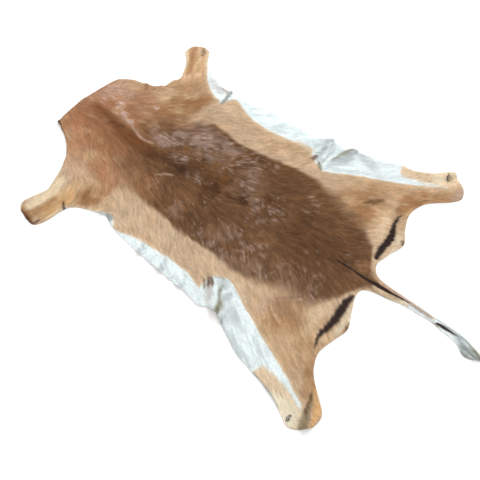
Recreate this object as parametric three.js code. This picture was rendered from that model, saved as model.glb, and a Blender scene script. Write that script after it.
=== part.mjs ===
// A tanned antelope hide laid flat on the floor, fur side up, in one piece: neck, back, flanks,
// two front legs, two hind legs and tail. Millimetres, +Z up. The spine runs along Y with the neck
// at +Y, and the animal's right side is +X. The underside lies on Z = 0 except under the folds.
import * as THREE from 'three';

// Driving dimensions
const SKIN_THICKNESS = 4;      // leather of about 1.2 with its short fur lying on it
const EDGE_THICKNESS = 2.4;    // at the cut edge, where the fur runs out
const EDGE_ROUNDING = 12;      // width over which the edge swells to the full thickness
const STEPS_ACROSS = 9;        // faces from the spine out to either edge
const EDGE_CROWDING = 1.25;    // above 1 the faces get narrower towards the edge
const BOW_SHAPE = 27 / 4;      // makes s * s * (1 - s) peak at 1, two thirds of the way out
const HIDE_COLOUR = 0x8a6242;

// The skin is a row of ribs. Each rib starts on the spine, at "spine" millimetres ahead of the tail
// root, and runs out to both cut edges: "out" is a side's distance from the spine line and "along"
// its place ahead of the tail root. "bow" bends a rib towards the neck, most at two thirds of
// its way out, so that it stays inside a leg, and "steps" is the number of faces to the next rib.
const RIB_COLUMNS = [
  'part', 'spine', 'rightOut', 'rightAlong', 'rightBow', 'leftOut', 'leftAlong', 'leftBow', 'steps',
];
const BODY_RIBS = [
  ['neck cut',          1051,  135, 1014,   3,  110, 1047,   3, 2],
  ['neck side',         1000,  157,  983,   0,  120, 1022,   0, 2],
  ['neck side',          940,  170,  941,   0,  144,  979,   0, 2],
  ['shoulder',           880,  183,  899,   0,  176,  943,   0, 2],
  ['shoulder',           840,  203,  873,   0,  204,  927,   0, 2],
  ['shoulder',           795,  237,  866,  -5,  242,  909,  -5, 2],
  ['front leg, front',   762,  254,  853,  -8,  272,  903,  -8, 2],
  ['front leg, front',   742,  300,  868, -20,  304,  896, -10, 2],
  ['front leg, front',   726,  330,  885, -40,  340,  909, -10, 2],
  ['front leg, front',   710,  361,  913, -54,  377,  922, -12, 1],
  ['front leg, end',     700,  391,  909, -50,  397,  911, -12, 1],
  ['front leg, end',     691,  406,  893, -38,  405,  890,  -6, 1],
  ['front leg, end',     683,  413,  870, -26,  412,  867,   4, 1],
  ['front leg, end',     676,  405,  843, -14,  411,  841,  16, 1],
  ['front leg, back',    669,  392,  827,  -8,  395,  829,  20, 1],
  ['front leg, back',    656,  365,  807,   0,  368,  819,  22, 2],
  ['front leg, back',    646,  345,  782,   6,  340,  813,  16, 2],
  ['front leg, back',    636,  323,  753,   6,  309,  798,   4, 2],
  ['armpit',             625,  309,  716,   0,  291,  768,   0, 2],
  ['armpit',             610,  307,  683,   0,  280,  734,   0, 2],
  ['armpit',             590,  311,  655,   0,  269,  703,   0, 2],
  ['belly',              568,  311,  625,   0,  284,  666,   0, 2],
  ['belly',              538,  311,  585,   0,  298,  600,   0, 3],
  ['belly',              500,  320,  538,   0,  306,  528,   0, 3],
  ['belly',              462,  313,  489,   0,  310,  477,   0, 2],
  ['belly',              435,  322,  455,   0,  314,  445,   0, 3],
  ['belly',              398,  316,  405,   0,  318,  390,   0, 3],
  ['groin',              368,  317,  360,   0,  323,  345,   0, 3],
  ['groin',              350,  337,  325,   0,  327,  318,   0, 3],
  ['groin',              337,  334,  295,   0,  316,  300,   0, 3],
  ['groin',              325,  333,  270,   0,  315,  277,   0, 3],
  ['groin',              316,  341,  245,   3,  326,  255,   3, 3],
  ['thigh',              307,  351,  200,   5,  351,  205,   5, 2],
  ['thigh',              299,  366,  145,  10,  374,  158,  10, 2],
  ['thigh',              293,  378,  101,  15,  386,  105,  15, 2],
  ['thigh',              288,  388,   55,  20,  396,   62,  20, 2],
  ['hind leg, front',    284,  413,    8,  28,  411,   20,  28, 2],
  ['hind leg, end',      281,  438,  -25,  36,  430,  -15,  36, 1],
  ['hind leg, end',      278,  444,  -42,  42,  442,  -37,  42, 1],
  ['hind leg, end',      275,  432,  -58,  50,  436,  -58,  50, 1],
  ['hind leg, end',      272,  416,  -83,  58,  414,  -85,  58, 1],
  ['hind leg, end',      268,  396,  -94,  66,  390,  -93,  66, 1],
  ['hind leg, back',     262,  376,  -96,  70,  370,  -91,  70, 1],
  ['hind leg, back',     250,  349,  -75,  64,  342,  -64,  64, 2],
  ['hind leg, back',     228,  317,  -36,  48,  312,  -32,  48, 2],
  ['hind leg, back',     196,  291,  -13,  32,  288,  -15,  32, 2],
  ['rump',               152,  245,    1,  18,  248,   -3,  18, 2],
  ['rump',               108,  190,  -13,  10,  198,  -17,  10, 2],
  ['rump corner',         74,  148,  -32,   8,  152,  -31,   8, 2],
  ['rump',                48,  103,  -15,   2,  102,  -13,   2, 2],
  ['rump',                28,   62,    0,   0,   60,    0,   0, 2],
  ['tail root',           10,   37,   -6,   0,   37,   -6,   0, 2],
];

// The tail lies in line with the spine and drifts to the left where its hair tuft fans out.
const TAIL_COLUMNS = ['along', 'centre', 'halfWidth', 'height', 'steps'];
const TAIL_RIBS = [
  [ -24,  -3, 24,  6, 2],
  [ -48,  -3, 19,  8, 2],
  [ -76,  -2, 16,  9, 3],
  [-116,   2, 12,  9, 3],
  [-156,   2, 11,  9, 3],
  [-196,   1,  9,  8, 2],
  [-226,  -3, 11,  8, 2],
  [-256,  -5, 12,  8, 2],
  [-278, -10, 15,  8, 2],
  [-298, -20, 20,  7, 2],
  [-316, -23, 16,  6, 1],
  [-338, -21,  5,  3, 1],
];

// The main folds: a soft ridge from one place to another, with its height at either end and the
// half width of its foot. x is right of the spine, y is ahead of the tail root.
const FOLD_COLUMNS = ['fold', 'x0', 'y0', 'height0', 'x1', 'y1', 'height1', 'halfWidth'];
const FOLDS = [
  ['mane ridge',               4, 1000,  7,    0, 700,  0, 36],
  ['neck corner curl',      -114, 1052,  7, -176, 946,  4, 20],
  ['shoulder scallop',       178,  925,  6,  146, 912,  0, 13],
  ['shoulder scallop',       202,  888,  6,  172, 868,  0, 13],
  ['right armpit pucker',    316,  682,  9,  250, 676,  2, 15],
  ['left armpit pucker',    -268,  712,  7, -236, 690,  0, 16],
  ['left belly ripple',     -308,  546,  8, -262, 552,  0, 16],
  ['left belly ripple',     -312,  468,  7, -268, 476,  0, 15],
  ['left belly ripple',     -320,  396,  8, -276, 400,  0, 15],
  ['left groin roll',       -322,  276, 18, -236, 330,  6, 19],
  ['left groin pucker',     -328,  252, 10, -276, 262,  0, 15],
  ['right groin roll',       346,  242, 16,  284, 280,  5, 17],
  ['right groin lip',        342,  318, 11,  296, 300,  2, 16],
  ['left hind leg fold',    -418,  -76, 14, -340, -36,  0, 18],
  ['right hind leg curl',    448,  -44, 10,  404,   4,  0, 20],
  ['left haunch wrinkle',   -262,   66,  4, -196, 178,  2, 24],
];

function readTable(columns, rows) {
  return rows.map((row) => Object.fromEntries(columns.map((column, i) => [column, row[i]])));
}

function countTo(total) {
  return Array.from({ length: total }, (_, i) => i);
}

// Every rib, body and tail, in one form: the middle of the rib and its two ends
function makeRibs() {
  const body = readTable(RIB_COLUMNS, BODY_RIBS).map((rib) => ({
    middle: [0, rib.spine, SKIN_THICKNESS],
    right: [rib.rightOut, rib.rightAlong, rib.rightBow],
    left: [-rib.leftOut, rib.leftAlong, rib.leftBow],
    steps: rib.steps,
  }));
  const tail = readTable(TAIL_COLUMNS, TAIL_RIBS).map((rib) => ({
    middle: [rib.centre, rib.along, rib.height],
    right: [rib.centre + rib.halfWidth, rib.along, 0],
    left: [rib.centre - rib.halfWidth, rib.along, 0],
    steps: rib.steps,
  }));
  return [...body, ...tail];
}

// Smooth lines through the ribs' middles and ends, read off at every step from neck to tail
function makeStations(ribs) {
  const through = (key) => new THREE.CatmullRomCurve3(ribs.map((rib) => new THREE.Vector3(...rib[key])));
  const lines = { middle: through('middle'), right: through('right'), left: through('left') };
  const last = ribs.length - 1;
  const places = [];
  for (let i = 0; i < last; i++) {
    places.push(...countTo(ribs[i].steps).map((step) => (i + step / ribs[i].steps) / last));
  }
  places.push(1);
  return places.map((place) => ({
    middle: lines.middle.getPoint(place),
    right: lines.right.getPoint(place),
    left: lines.left.getPoint(place),
  }));
}

// How far the folds lift the skin off the floor at a place
const folds = readTable(FOLD_COLUMNS, FOLDS);

function liftAt(x, y) {
  let lift = 0;
  for (const fold of folds) {
    const runX = fold.x1 - fold.x0;
    const runY = fold.y1 - fold.y0;
    const along = ((x - fold.x0) * runX + (y - fold.y0) * runY) / (runX ** 2 + runY ** 2);
    const t = THREE.MathUtils.clamp(along, 0, 1);
    const distance = Math.hypot(x - fold.x0 - t * runX, y - fold.y0 - t * runY);
    const slope = Math.min(distance / fold.halfWidth, 1);
    const crest = THREE.MathUtils.lerp(fold.height0, fold.height1, t);
    lift = Math.max(lift, crest * (1 + Math.cos(Math.PI * slope)) / 2);
  }
  return lift;
}

// The point of a station at a share from -1, the left edge, over 0, the spine, to 1, the right edge
function surfacePoint(station, share) {
  const end = share < 0 ? station.left : station.right;
  const s = Math.abs(share);
  const x = THREE.MathUtils.lerp(station.middle.x, end.x, s);
  const y = THREE.MathUtils.lerp(station.middle.y, end.y, s) + end.z * BOW_SHAPE * s * s * (1 - s);
  const toEdge = Math.hypot(end.x - x, end.y - y);
  const swell = THREE.MathUtils.smoothstep(toEdge, 0, EDGE_ROUNDING);
  const thickness = THREE.MathUtils.lerp(EDGE_THICKNESS, station.middle.z, swell);
  return { x, y, bottom: liftAt(x, y), thickness };
}

// One closed sheet: a top and an underside over the same net, joined by a wall all the way round
function makeSheet(stations, shares) {
  const columns = shares.length;
  const net = stations.map((station) => shares.map((share) => surfacePoint(station, share)));
  const points = net.flat();
  const top = points.flatMap((p) => [p.x, p.y, p.bottom + p.thickness]);
  const underside = points.flatMap((p) => [p.x, p.y, p.bottom]);
  const undersideStart = points.length;
  const triangles = [];
  const quad = (a, b, c, d) => triangles.push(a, b, c, a, c, d);
  for (let i = 0; i < stations.length - 1; i++) {
    for (let j = 0; j < columns - 1; j++) {
      const a = i * columns + j;
      const b = a + 1;
      const c = b + columns;
      const d = a + columns;
      quad(a, d, c, b);
      quad(undersideStart + a, undersideStart + b, undersideStart + c, undersideStart + d);
    }
  }
  const lastStation = stations.length - 1;
  const lastColumn = columns - 1;
  const rim = [
    ...countTo(lastColumn),
    ...countTo(lastStation).map((i) => i * columns + lastColumn),
    ...countTo(lastColumn).map((j) => lastStation * columns + lastColumn - j),
    ...countTo(lastStation).map((i) => (lastStation - i) * columns),
  ];
  rim.forEach((a, k) => {
    const b = rim[(k + 1) % rim.length];
    quad(a, b, undersideStart + b, undersideStart + a);
  });
  const geometry = new THREE.BufferGeometry();
  geometry.setAttribute('position', new THREE.Float32BufferAttribute([...top, ...underside], 3));
  geometry.setIndex(triangles);
  geometry.computeVertexNormals();
  return geometry;
}

// The shares at which every station is cut, closer together towards the edges
function makeShares() {
  const half = countTo(STEPS_ACROSS).map((k) => 1 - (1 - (k + 1) / STEPS_ACROSS) ** EDGE_CROWDING);
  return [...half.map((share) => -share).reverse(), 0, ...half];
}

const hide = new THREE.Mesh(
  makeSheet(makeStations(makeRibs()), makeShares()),
  new THREE.MeshStandardMaterial({ color: HIDE_COLOUR, roughness: 0.6, metalness: 0 }),
);
hide.name = 'hide';

// The reference point is the middle of the hide's outer box, on the floor
hide.geometry.computeBoundingBox();
const middle = hide.geometry.boundingBox.getCenter(new THREE.Vector3());
hide.position.set(-middle.x, -middle.y, -hide.geometry.boundingBox.min.z);

const group = new THREE.Group();
group.add(hide);

export default group;
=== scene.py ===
# %% [markdown]
# # An antelope hide, tanned and laid flat with the fur up
#
# One skin is the whole object, so this lesson makes two things: the leather, which is a thin closed
# sheet, and the short fur that is planted on it with Geometry Nodes. The fur carries the markings,
# because on a real hide the colour is in the hair.

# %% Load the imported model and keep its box
import math

import bmesh
import bpy
import numpy as np
from mathutils import Matrix, Vector


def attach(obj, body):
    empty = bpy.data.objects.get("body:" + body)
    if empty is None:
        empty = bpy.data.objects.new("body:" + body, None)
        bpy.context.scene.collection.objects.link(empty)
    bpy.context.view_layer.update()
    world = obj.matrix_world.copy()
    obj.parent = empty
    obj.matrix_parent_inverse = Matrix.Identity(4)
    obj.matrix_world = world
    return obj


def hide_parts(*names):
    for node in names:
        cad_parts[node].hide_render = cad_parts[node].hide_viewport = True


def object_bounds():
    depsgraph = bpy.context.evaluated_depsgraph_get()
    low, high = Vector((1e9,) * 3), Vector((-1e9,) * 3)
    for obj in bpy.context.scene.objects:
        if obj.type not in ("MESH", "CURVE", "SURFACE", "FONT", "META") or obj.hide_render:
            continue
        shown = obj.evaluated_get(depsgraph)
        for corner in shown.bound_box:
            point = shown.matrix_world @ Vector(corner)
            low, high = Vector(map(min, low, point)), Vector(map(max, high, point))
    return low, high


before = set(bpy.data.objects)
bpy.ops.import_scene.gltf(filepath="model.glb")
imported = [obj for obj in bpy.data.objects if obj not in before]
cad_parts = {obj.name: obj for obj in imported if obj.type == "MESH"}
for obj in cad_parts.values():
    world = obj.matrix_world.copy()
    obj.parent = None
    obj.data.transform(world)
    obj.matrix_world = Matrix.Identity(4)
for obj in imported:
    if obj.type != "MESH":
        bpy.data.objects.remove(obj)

cad_low, cad_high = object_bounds()
print("CAD box in metres:", tuple(cad_low), tuple(cad_high))

# %% [markdown]
# ## Measuring on the skin
#
# A tanner measures a hide from its spine and its tail root. All places below are written that way, in
# millimetres: x to the animal's right of the spine, y ahead of the tail root. The CAD box is measured
# from the middle of the floor, so two known edges, the right hind leg and the tail end, tie the two
# together.

# %% Millimetres on the skin, metres in the frame
MM = 0.001
RIGHT_LEG_TIP = 444
TAIL_END = -338
ZERO_X = cad_high.x / MM - RIGHT_LEG_TIP
ZERO_Y = cad_low.y / MM - TAIL_END


def to_frame(x, y, z):
    """Points in metres in the frame from arrays of millimetres on the skin"""
    return np.stack([x + ZERO_X, y + ZERO_Y, z], axis=-1) * MM


def to_skin(points):
    """x and y in millimetres on the skin from points in metres in the frame"""
    return points[:, 0] / MM - ZERO_X, points[:, 1] / MM - ZERO_Y


# %% [markdown]
# ## Soft edges and seeded chance
#
# Nothing on a hide has a hard edge or a regular pattern. Two small tools do nearly all of it: a ramp
# that rises softly between two values, and blots, a field of soft random values. The blots come from
# a seeded table, so every run gives the same hide. Folds, outlines and stripes also need to know how
# far a place is from a straight line.

# %% Ramps, blots and distances
LATTICE = 256


def ramp(value, low, high):
    """0 below low, 1 above high, and an S-shaped rise between"""
    t = np.clip((value - low) / (high - low), 0, 1)
    return t * t * (3 - 2 * t)


def turned(x, y, degrees):
    """x and y in axes that are turned to the left by so many degrees"""
    cosine = math.cos(math.radians(degrees))
    sine = math.sin(math.radians(degrees))
    return x * cosine + y * sine, y * cosine - x * sine


def blots(x, y, size, seed, stretch=1.0, turn=0.0):
    """Soft random values from 0 to 1, in blots about size across and stretch times as long"""
    values = np.random.default_rng(seed).random((LATTICE, LATTICE))
    across, along = turned(x, y, turn)
    across = across / size
    along = along / (size * stretch)
    column = np.floor(across).astype(int)
    row = np.floor(along).astype(int)
    u = ramp(across - column, 0, 1)
    v = ramp(along - row, 0, 1)
    left, right = column % LATTICE, (column + 1) % LATTICE
    near, far = row % LATTICE, (row + 1) % LATTICE
    low = values[near, left] * (1 - u) + values[near, right] * u
    high = values[far, left] * (1 - u) + values[far, right] * u
    return low * (1 - v) + high * v


def clouds(x, y, size, seed, **shape):
    """Blots of three sizes over each other, from 0 to 1"""
    shares = (1, 1 / 2, 1 / 4)
    layers = [share * blots(x, y, size * share, seed + k, **shape) for k, share in enumerate(shares)]
    return sum(layers) / sum(shares)


def to_segment(x, y, start, end):
    """How far along a straight line each place lies, from 0 to 1, and its distance to that line"""
    (x0, y0), (x1, y1) = start, end
    run_x, run_y = x1 - x0, y1 - y0
    t = np.clip(((x - x0) * run_x + (y - y0) * run_y) / (run_x ** 2 + run_y ** 2), 0, 1)
    return t, np.hypot(x - x0 - t * run_x, y - y0 - t * run_y)


# %% [markdown]
# ## The outline, rib by rib
#
# The CAD solid runs ribs from the spine to both cut edges and draws smooth lines through their ends.
# The leather has to end where that solid ends, so the same ribs are used here, with the same kind of
# smooth line, only read off more finely. The alternative, shrinking a net onto the solid, would blur
# the cut edge.

# %% Ribs of the body and the tail, the same as the CAD solid's
# spine: where a rib starts, ahead of the tail root; out and along: where it meets a cut edge;
# bow: how far it bends towards the neck; steps: how many faces the CAD solid has to the next rib
BODY_RIBS = (
    # spine, right out, right along, right bow, left out, left along, left bow, steps
    (1051, 135, 1014, 3, 110, 1047, 3, 2),
    (1000, 157, 983, 0, 120, 1022, 0, 2),
    (940, 170, 941, 0, 144, 979, 0, 2),
    (880, 183, 899, 0, 176, 943, 0, 2),
    (840, 203, 873, 0, 204, 927, 0, 2),
    (795, 237, 866, -5, 242, 909, -5, 2),
    (762, 254, 853, -8, 272, 903, -8, 2),
    (742, 300, 868, -20, 304, 896, -10, 2),
    (726, 330, 885, -40, 340, 909, -10, 2),
    (710, 361, 913, -54, 377, 922, -12, 1),
    (700, 391, 909, -50, 397, 911, -12, 1),
    (691, 406, 893, -38, 405, 890, -6, 1),
    (683, 413, 870, -26, 412, 867, 4, 1),
    (676, 405, 843, -14, 411, 841, 16, 1),
    (669, 392, 827, -8, 395, 829, 20, 1),
    (656, 365, 807, 0, 368, 819, 22, 2),
    (646, 345, 782, 6, 340, 813, 16, 2),
    (636, 323, 753, 6, 309, 798, 4, 2),
    (625, 309, 716, 0, 291, 768, 0, 2),
    (610, 307, 683, 0, 280, 734, 0, 2),
    (590, 311, 655, 0, 269, 703, 0, 2),
    (568, 311, 625, 0, 284, 666, 0, 2),
    (538, 311, 585, 0, 298, 600, 0, 3),
    (500, 320, 538, 0, 306, 528, 0, 3),
    (462, 313, 489, 0, 310, 477, 0, 2),
    (435, 322, 455, 0, 314, 445, 0, 3),
    (398, 316, 405, 0, 318, 390, 0, 3),
    (368, 317, 360, 0, 323, 345, 0, 3),
    (350, 337, 325, 0, 327, 318, 0, 3),
    (337, 334, 295, 0, 316, 300, 0, 3),
    (325, 333, 270, 0, 315, 277, 0, 3),
    (316, 341, 245, 3, 326, 255, 3, 3),
    (307, 351, 200, 5, 351, 205, 5, 2),
    (299, 366, 145, 10, 374, 158, 10, 2),
    (293, 378, 101, 15, 386, 105, 15, 2),
    (288, 388, 55, 20, 396, 62, 20, 2),
    (284, 413, 8, 28, 411, 20, 28, 2),
    (281, 438, -25, 36, 430, -15, 36, 1),
    (278, 444, -42, 42, 442, -37, 42, 1),
    (275, 432, -58, 50, 436, -58, 50, 1),
    (272, 416, -83, 58, 414, -85, 58, 1),
    (268, 396, -94, 66, 390, -93, 66, 1),
    (262, 376, -96, 70, 370, -91, 70, 1),
    (250, 349, -75, 64, 342, -64, 64, 2),
    (228, 317, -36, 48, 312, -32, 48, 2),
    (196, 291, -13, 32, 288, -15, 32, 2),
    (152, 245, 1, 18, 248, -3, 18, 2),
    (108, 190, -13, 10, 198, -17, 10, 2),
    (74, 148, -32, 8, 152, -31, 8, 2),
    (48, 103, -15, 2, 102, -13, 2, 2),
    (28, 62, 0, 0, 60, 0, 0, 2),
    (10, 37, -6, 0, 37, -6, 0, 2),
)
TAIL_RIBS = (
    # along, centre, half width, height, steps
    (-24, -3, 24, 6, 2),
    (-48, -3, 19, 8, 2),
    (-76, -2, 16, 9, 3),
    (-116, 2, 12, 9, 3),
    (-156, 2, 11, 9, 3),
    (-196, 1, 9, 8, 2),
    (-226, -3, 11, 8, 2),
    (-256, -5, 12, 8, 2),
    (-278, -10, 15, 8, 2),
    (-298, -20, 20, 7, 2),
    (-316, -23, 16, 6, 1),
    (-338, -21, 5, 3, 1),
)
SOLID_THICKNESS = 4
FINER_ALONG = 3


def rib_ends():
    """Middle, right end and left end of every rib, and the faces to the next one"""
    middle = [(0, rib[0], SOLID_THICKNESS) for rib in BODY_RIBS]
    right = [(rib[1], rib[2], rib[3]) for rib in BODY_RIBS]
    left = [(-rib[4], rib[5], rib[6]) for rib in BODY_RIBS]
    for along, centre, half_width, height, _ in TAIL_RIBS:
        middle.append((centre, along, height))
        right.append((centre + half_width, along, 0))
        left.append((centre - half_width, along, 0))
    steps = [rib[-1] * FINER_ALONG for rib in (*BODY_RIBS, *TAIL_RIBS)]
    return middle, right, left, steps


def smooth_line(points, places):
    """A centripetal Catmull-Rom line through points, read at places: 2.5 is halfway from 2 to 3"""
    points = np.array(points, float)
    before, after = 2 * points[0] - points[1], 2 * points[-1] - points[-2]
    padded = np.vstack([before, points, after])
    first = np.minimum(places.astype(int), len(points) - 2)
    w = (places - first)[:, None]
    a, b, c, d = (padded[first + k] for k in range(4))
    ab, bc, cd = (np.linalg.norm(q - p, axis=1)[:, None] ** 0.5 for p, q in ((a, b), (b, c), (c, d)))
    leave = ((b - a) / ab - (c - a) / (ab + bc) + (c - b) / bc) * bc
    arrive = ((c - b) / bc - (d - b) / (bc + cd) + (d - c) / cd) * bc
    cube, square = 2 * b - 2 * c + leave + arrive, 3 * c - 3 * b - 2 * leave - arrive
    return ((cube * w + square) * w + leave) * w + b


middle_ends, right_ends, left_ends, rib_steps = rib_ends()
places = np.concatenate(
    [i + np.arange(steps) / steps for i, steps in enumerate(rib_steps[:-1])] + [[len(rib_steps) - 1]]
)
spine_line = smooth_line(middle_ends, places)
right_line = smooth_line(right_ends, places)
left_line = smooth_line(left_ends, places)
print("Stations from neck to tail:", len(places))

# %% [markdown]
# ## Folds and waves
#
# A tanned hide never lies quite flat. Where the thin belly skin was stretched it rolls up at the
# groin, the armpits pucker and the cut edges curl. Each fold is a soft ridge between two places. A
# lean pushes its crest sideways, so that the ridge hangs over on one side and keeps a dark line in
# the crease. The first rows are the CAD solid's own folds and the rest are finer ones.

# %% Folds of the skin
# x0, y0, height0, x1, y1, height1, half width of the foot, lean of the crest in x and y
FOLDS = (
    (4, 1000, 7, 0, 700, 0, 36, 0, 0),              # mane ridge
    (-114, 1052, 7, -176, 946, 4, 20, 0, 0),        # curled neck corner
    (178, 925, 6, 146, 912, 0, 13, 0, 0),           # scallops of the right shoulder
    (202, 888, 6, 172, 868, 0, 13, 0, 0),
    (316, 682, 9, 250, 676, 2, 15, 0, -3),          # right armpit
    (-268, 712, 7, -236, 690, 0, 16, 0, 0),         # left armpit
    (-308, 546, 8, -262, 552, 0, 16, 0, -3),        # ripples of the left belly
    (-312, 468, 7, -268, 476, 0, 15, 0, -3),
    (-320, 396, 8, -276, 400, 0, 15, 0, -3),
    (-322, 276, 18, -236, 330, 6, 19, -4, -9),      # left groin
    (-328, 252, 10, -276, 262, 0, 15, 0, -4),
    (346, 242, 16, 284, 280, 5, 17, -2, -8),        # right groin
    (342, 318, 11, 296, 300, 2, 16, 0, -3),
    (-418, -76, 14, -340, -36, 0, 18, -4, 6),       # left hind leg
    (448, -44, 10, 404, 4, 0, 20, 0, 0),            # right hind leg
    (-262, 66, 4, -196, 178, 2, 24, 0, 0),          # left haunch
    (-252, 352, 6, -268, 318, 5, 8, -2, 0),         # small puckers of the left groin
    (-240, 330, 5, -262, 286, 4, 7, 2, 0),
    (-292, 262, 5, -248, 292, 2, 7, 0, -2),
    (250, 340, 4, 262, 300, 5, 8, 2, 0),            # small puckers of the right groin
    (240, 312, 4, 236, 284, 3, 7, 0, 0),
    (300, 322, 5, 268, 336, 2, 8, 0, -2),
    (-300, 508, 4, -276, 512, 0, 8, 0, -2),
    (-314, 432, 4, -286, 438, 0, 8, 0, -2),
    (304, 470, 4, 288, 474, 0, 10, 0, 0),
    (322, 530, 5, 286, 540, 0, 12, 0, 0),
    (-372, 120, 5, -318, 196, 2, 10, 0, 0),         # long creases of the white hind leg skin
    (-346, 140, 3, -300, 206, 1, 8, 0, 0),
    (362, 130, 4, 330, 190, 1, 10, 0, 0),
    (-196, 168, 2.5, -250, 82, 2.5, 6, 0, 0),       # wrinkles of the left haunch
    (-222, 176, 2, -262, 104, 2, 6, 0, 0),
    (-182, 150, 1.5, -214, 96, 1.5, 5, 0, 0),
    (404, -66, 3, 376, -92, 2, 6, 0, 0),            # creases of the right hind leg end
    (-384, -60, 4, -352, 10, 1, 9, 0, 0),
    (-404, 876, 4, -330, 872, 1, 12, 0, 0),         # crown of the left front leg
    (372, 896, 4, 330, 830, 1, 14, 0, 0),           # crown of the right front leg
)


def fold_lift(x, y):
    """How far the folds lift the skin, and how far they push it sideways, all in millimetres"""
    lift = np.zeros_like(x)
    push_x = np.zeros_like(x)
    push_y = np.zeros_like(x)
    for x0, y0, height0, x1, y1, height1, half_width, lean_x, lean_y in FOLDS:
        t, distance = to_segment(x, y, (x0, y0), (x1, y1))
        crest = (1 + np.cos(np.pi * np.minimum(distance / half_width, 1))) / 2
        rise = (height0 + (height1 - height0) * t) * crest
        share = rise / max(height0, height1)
        lift = np.maximum(lift, rise)
        push_x += lean_x * share ** 2
        push_y += lean_y * share ** 2
    return lift, push_x, push_y


# %% [markdown]
# ## The leather
#
# The leather is a sheet about 1.6 mm thick. It is built as a net of stations by columns: a top, an
# underside just below it, and a rim that closes the two all round. A Solidify modifier could give the
# thickness too, but the rolled folds would then cross themselves. Each point also keeps what the fur
# needs to know about it: how far it is from the cut edge.

# %% The net of the leather
COLUMNS_A_SIDE = 34
EDGE_CROWDING = 1.25
BOW_SHAPE = 27 / 4
LEATHER = 1.6
EDGE_LEATHER = 1.0
EDGE_ROUNDING = 12
FUR_DEPTH = 2.4       # what the lying fur adds above the leather
WAVE_HEIGHT = 2.6     # the slack of the skin near its edges
WAVE_REACH = 70
NIBBLE = 3            # how unevenly the edge is cut
NIBBLE_REACH = 8
BODY_END = (-20, 20)  # the tail has no slack and no nibbles


def leather_net():
    """x, y, underside, top and distance to the cut edge, in millimetres, station by column"""
    half = 1 - (1 - np.arange(1, COLUMNS_A_SIDE + 1) / COLUMNS_A_SIDE) ** EDGE_CROWDING
    shares = np.concatenate([-half[::-1], [0], half])[None, :, None]
    ends = np.where(shares < 0, left_line[:, None], right_line[:, None])
    s = abs(shares[..., 0])
    out_x = ends[..., 0] - spine_line[:, :1]
    out_y = ends[..., 1] - spine_line[:, 1:2]
    x = spine_line[:, :1] + out_x * s
    y = spine_line[:, 1:2] + out_y * s + ends[..., 2] * BOW_SHAPE * s ** 2 * (1 - s)
    to_edge = np.hypot(ends[..., 0] - x, ends[..., 1] - y)
    lift, push_x, push_y = fold_lift(x, y)
    thick = np.maximum(LEATHER, spine_line[:, 2:] - FUR_DEPTH)
    thick = EDGE_LEATHER + (thick - EDGE_LEATHER) * ramp(to_edge, 0, EDGE_ROUNDING)
    on_body = ramp(y, *BODY_END)
    slack = on_body * (1 - ramp(to_edge, 0, WAVE_REACH)) * ramp(clouds(x, y, 60, 11), 0.35, 0.85)
    under = lift + WAVE_HEIGHT * slack
    nibble = NIBBLE * (clouds(x, y, 9, 14) - 0.5) * (1 - ramp(to_edge, 0, NIBBLE_REACH)) * on_body
    outward = np.hypot(out_x, out_y) + 1e-6
    x = x + push_x + nibble * out_x / outward
    y = y + push_y + nibble * out_y / outward
    return x, y, under, under + thick, to_edge


def net_faces(stations, columns):
    """Faces of the top, the underside and the rim of a net, as lists of point numbers"""
    a = (np.arange(stations - 1)[:, None] * columns + np.arange(columns - 1)).ravel()
    b, c, d = a + 1, a + columns + 1, a + columns
    under = stations * columns
    top = np.stack([a, d, c, b], axis=1)
    underside = np.stack([a, b, c, d], axis=1) + under
    last = (stations - 1) * columns
    loop = np.concatenate([
        np.arange(columns - 1),
        np.arange(stations - 1) * columns + columns - 1,
        last + columns - 1 - np.arange(columns - 1),
        (stations - 1 - np.arange(stations - 1)) * columns,
    ])
    after = np.roll(loop, -1)
    rim = np.stack([loop, after, after + under, loop + under], axis=1)
    return top, underside, rim


net_x, net_y, net_under, net_top, net_edge = leather_net()
top_faces, under_faces, rim_faces = net_faces(*net_x.shape)
print("Leather faces:", len(top_faces) + len(under_faces) + len(rim_faces))

# %% [markdown]
# ## The colours of the coat
#
# Each hair gets its colours from the place where it lies. The coat is built up the way a painter would
# do it: a ground colour, then large soft tints, the dark saddle with its painted sheen, the white belly,
# the small marks, among them painted shade in creases and holes, and last the fine streaks. An image
# texture would be quicker, but drawn shapes stay sharp at any size and can be changed by hand.

# %% The colours, as the eye reads them: red, green and blue from 0 to 255
COLOURS = {
    "fawn": (202, 173, 143),
    "biscuit": (196, 160, 122),
    "fox": (176, 126, 92),
    "copper": (190, 132, 96),
    "chestnut": (156, 112, 74),
    "rust": (108, 65, 38),
    "amber": (126, 84, 48),
    "cocoa": (117, 84, 58),
    "walnut": (90, 61, 39),
    "espresso": (62, 42, 31),
    # heather and pearl are the lilac greys of the painted sheen; heather is also a plain tint
    "heather": (160, 136, 124),
    "pearl": (216, 190, 178),
    "rose": (216, 184, 168),
    "blush": (200, 166, 144),
    "sand": (224, 198, 164),
    "cream": (238, 218, 184),
    "ivory": (234, 226, 202),
    "chalk": (240, 249, 249),
    # slate and olive: mostly painted shade in creases and hollows, also the greys of the tail's tuft
    "slate": (150, 158, 158),
    "ink": (46, 35, 33),
    "olive": (112, 102, 74),
    "apricot": (220, 172, 114),
}
COLOURS = {name: np.array(value) / 255 for name, value in COLOURS.items()}


def lay(coat, colour, share):
    """The coat with a colour laid over it, by a share from 0 to 1 for each hair"""
    return coat + (COLOURS[colour] - coat) * share[:, None]


# %% [markdown]
# The hair of an antelope lies backwards, and further out from the spine it also lies outwards. On the
# front legs it points along the leg. Streaks in the coat follow the same lines, so one function gives
# the angle of the hair and another lays a pattern of blots along it.

# %% The way the hair lies
SPREAD = 32       # how far outwards the hair points on the flanks, in degrees
LEG_SPREAD = 106  # and on the front legs
SPINE_BAND = (15, 130)
LEG_FROM_SPINE = (190, 290)
LEG_ALONG = (700, 800)
SWIRLS = ((34, 70, 21), (40, 20, 22))       # degrees, size and seed of the blots


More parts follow.
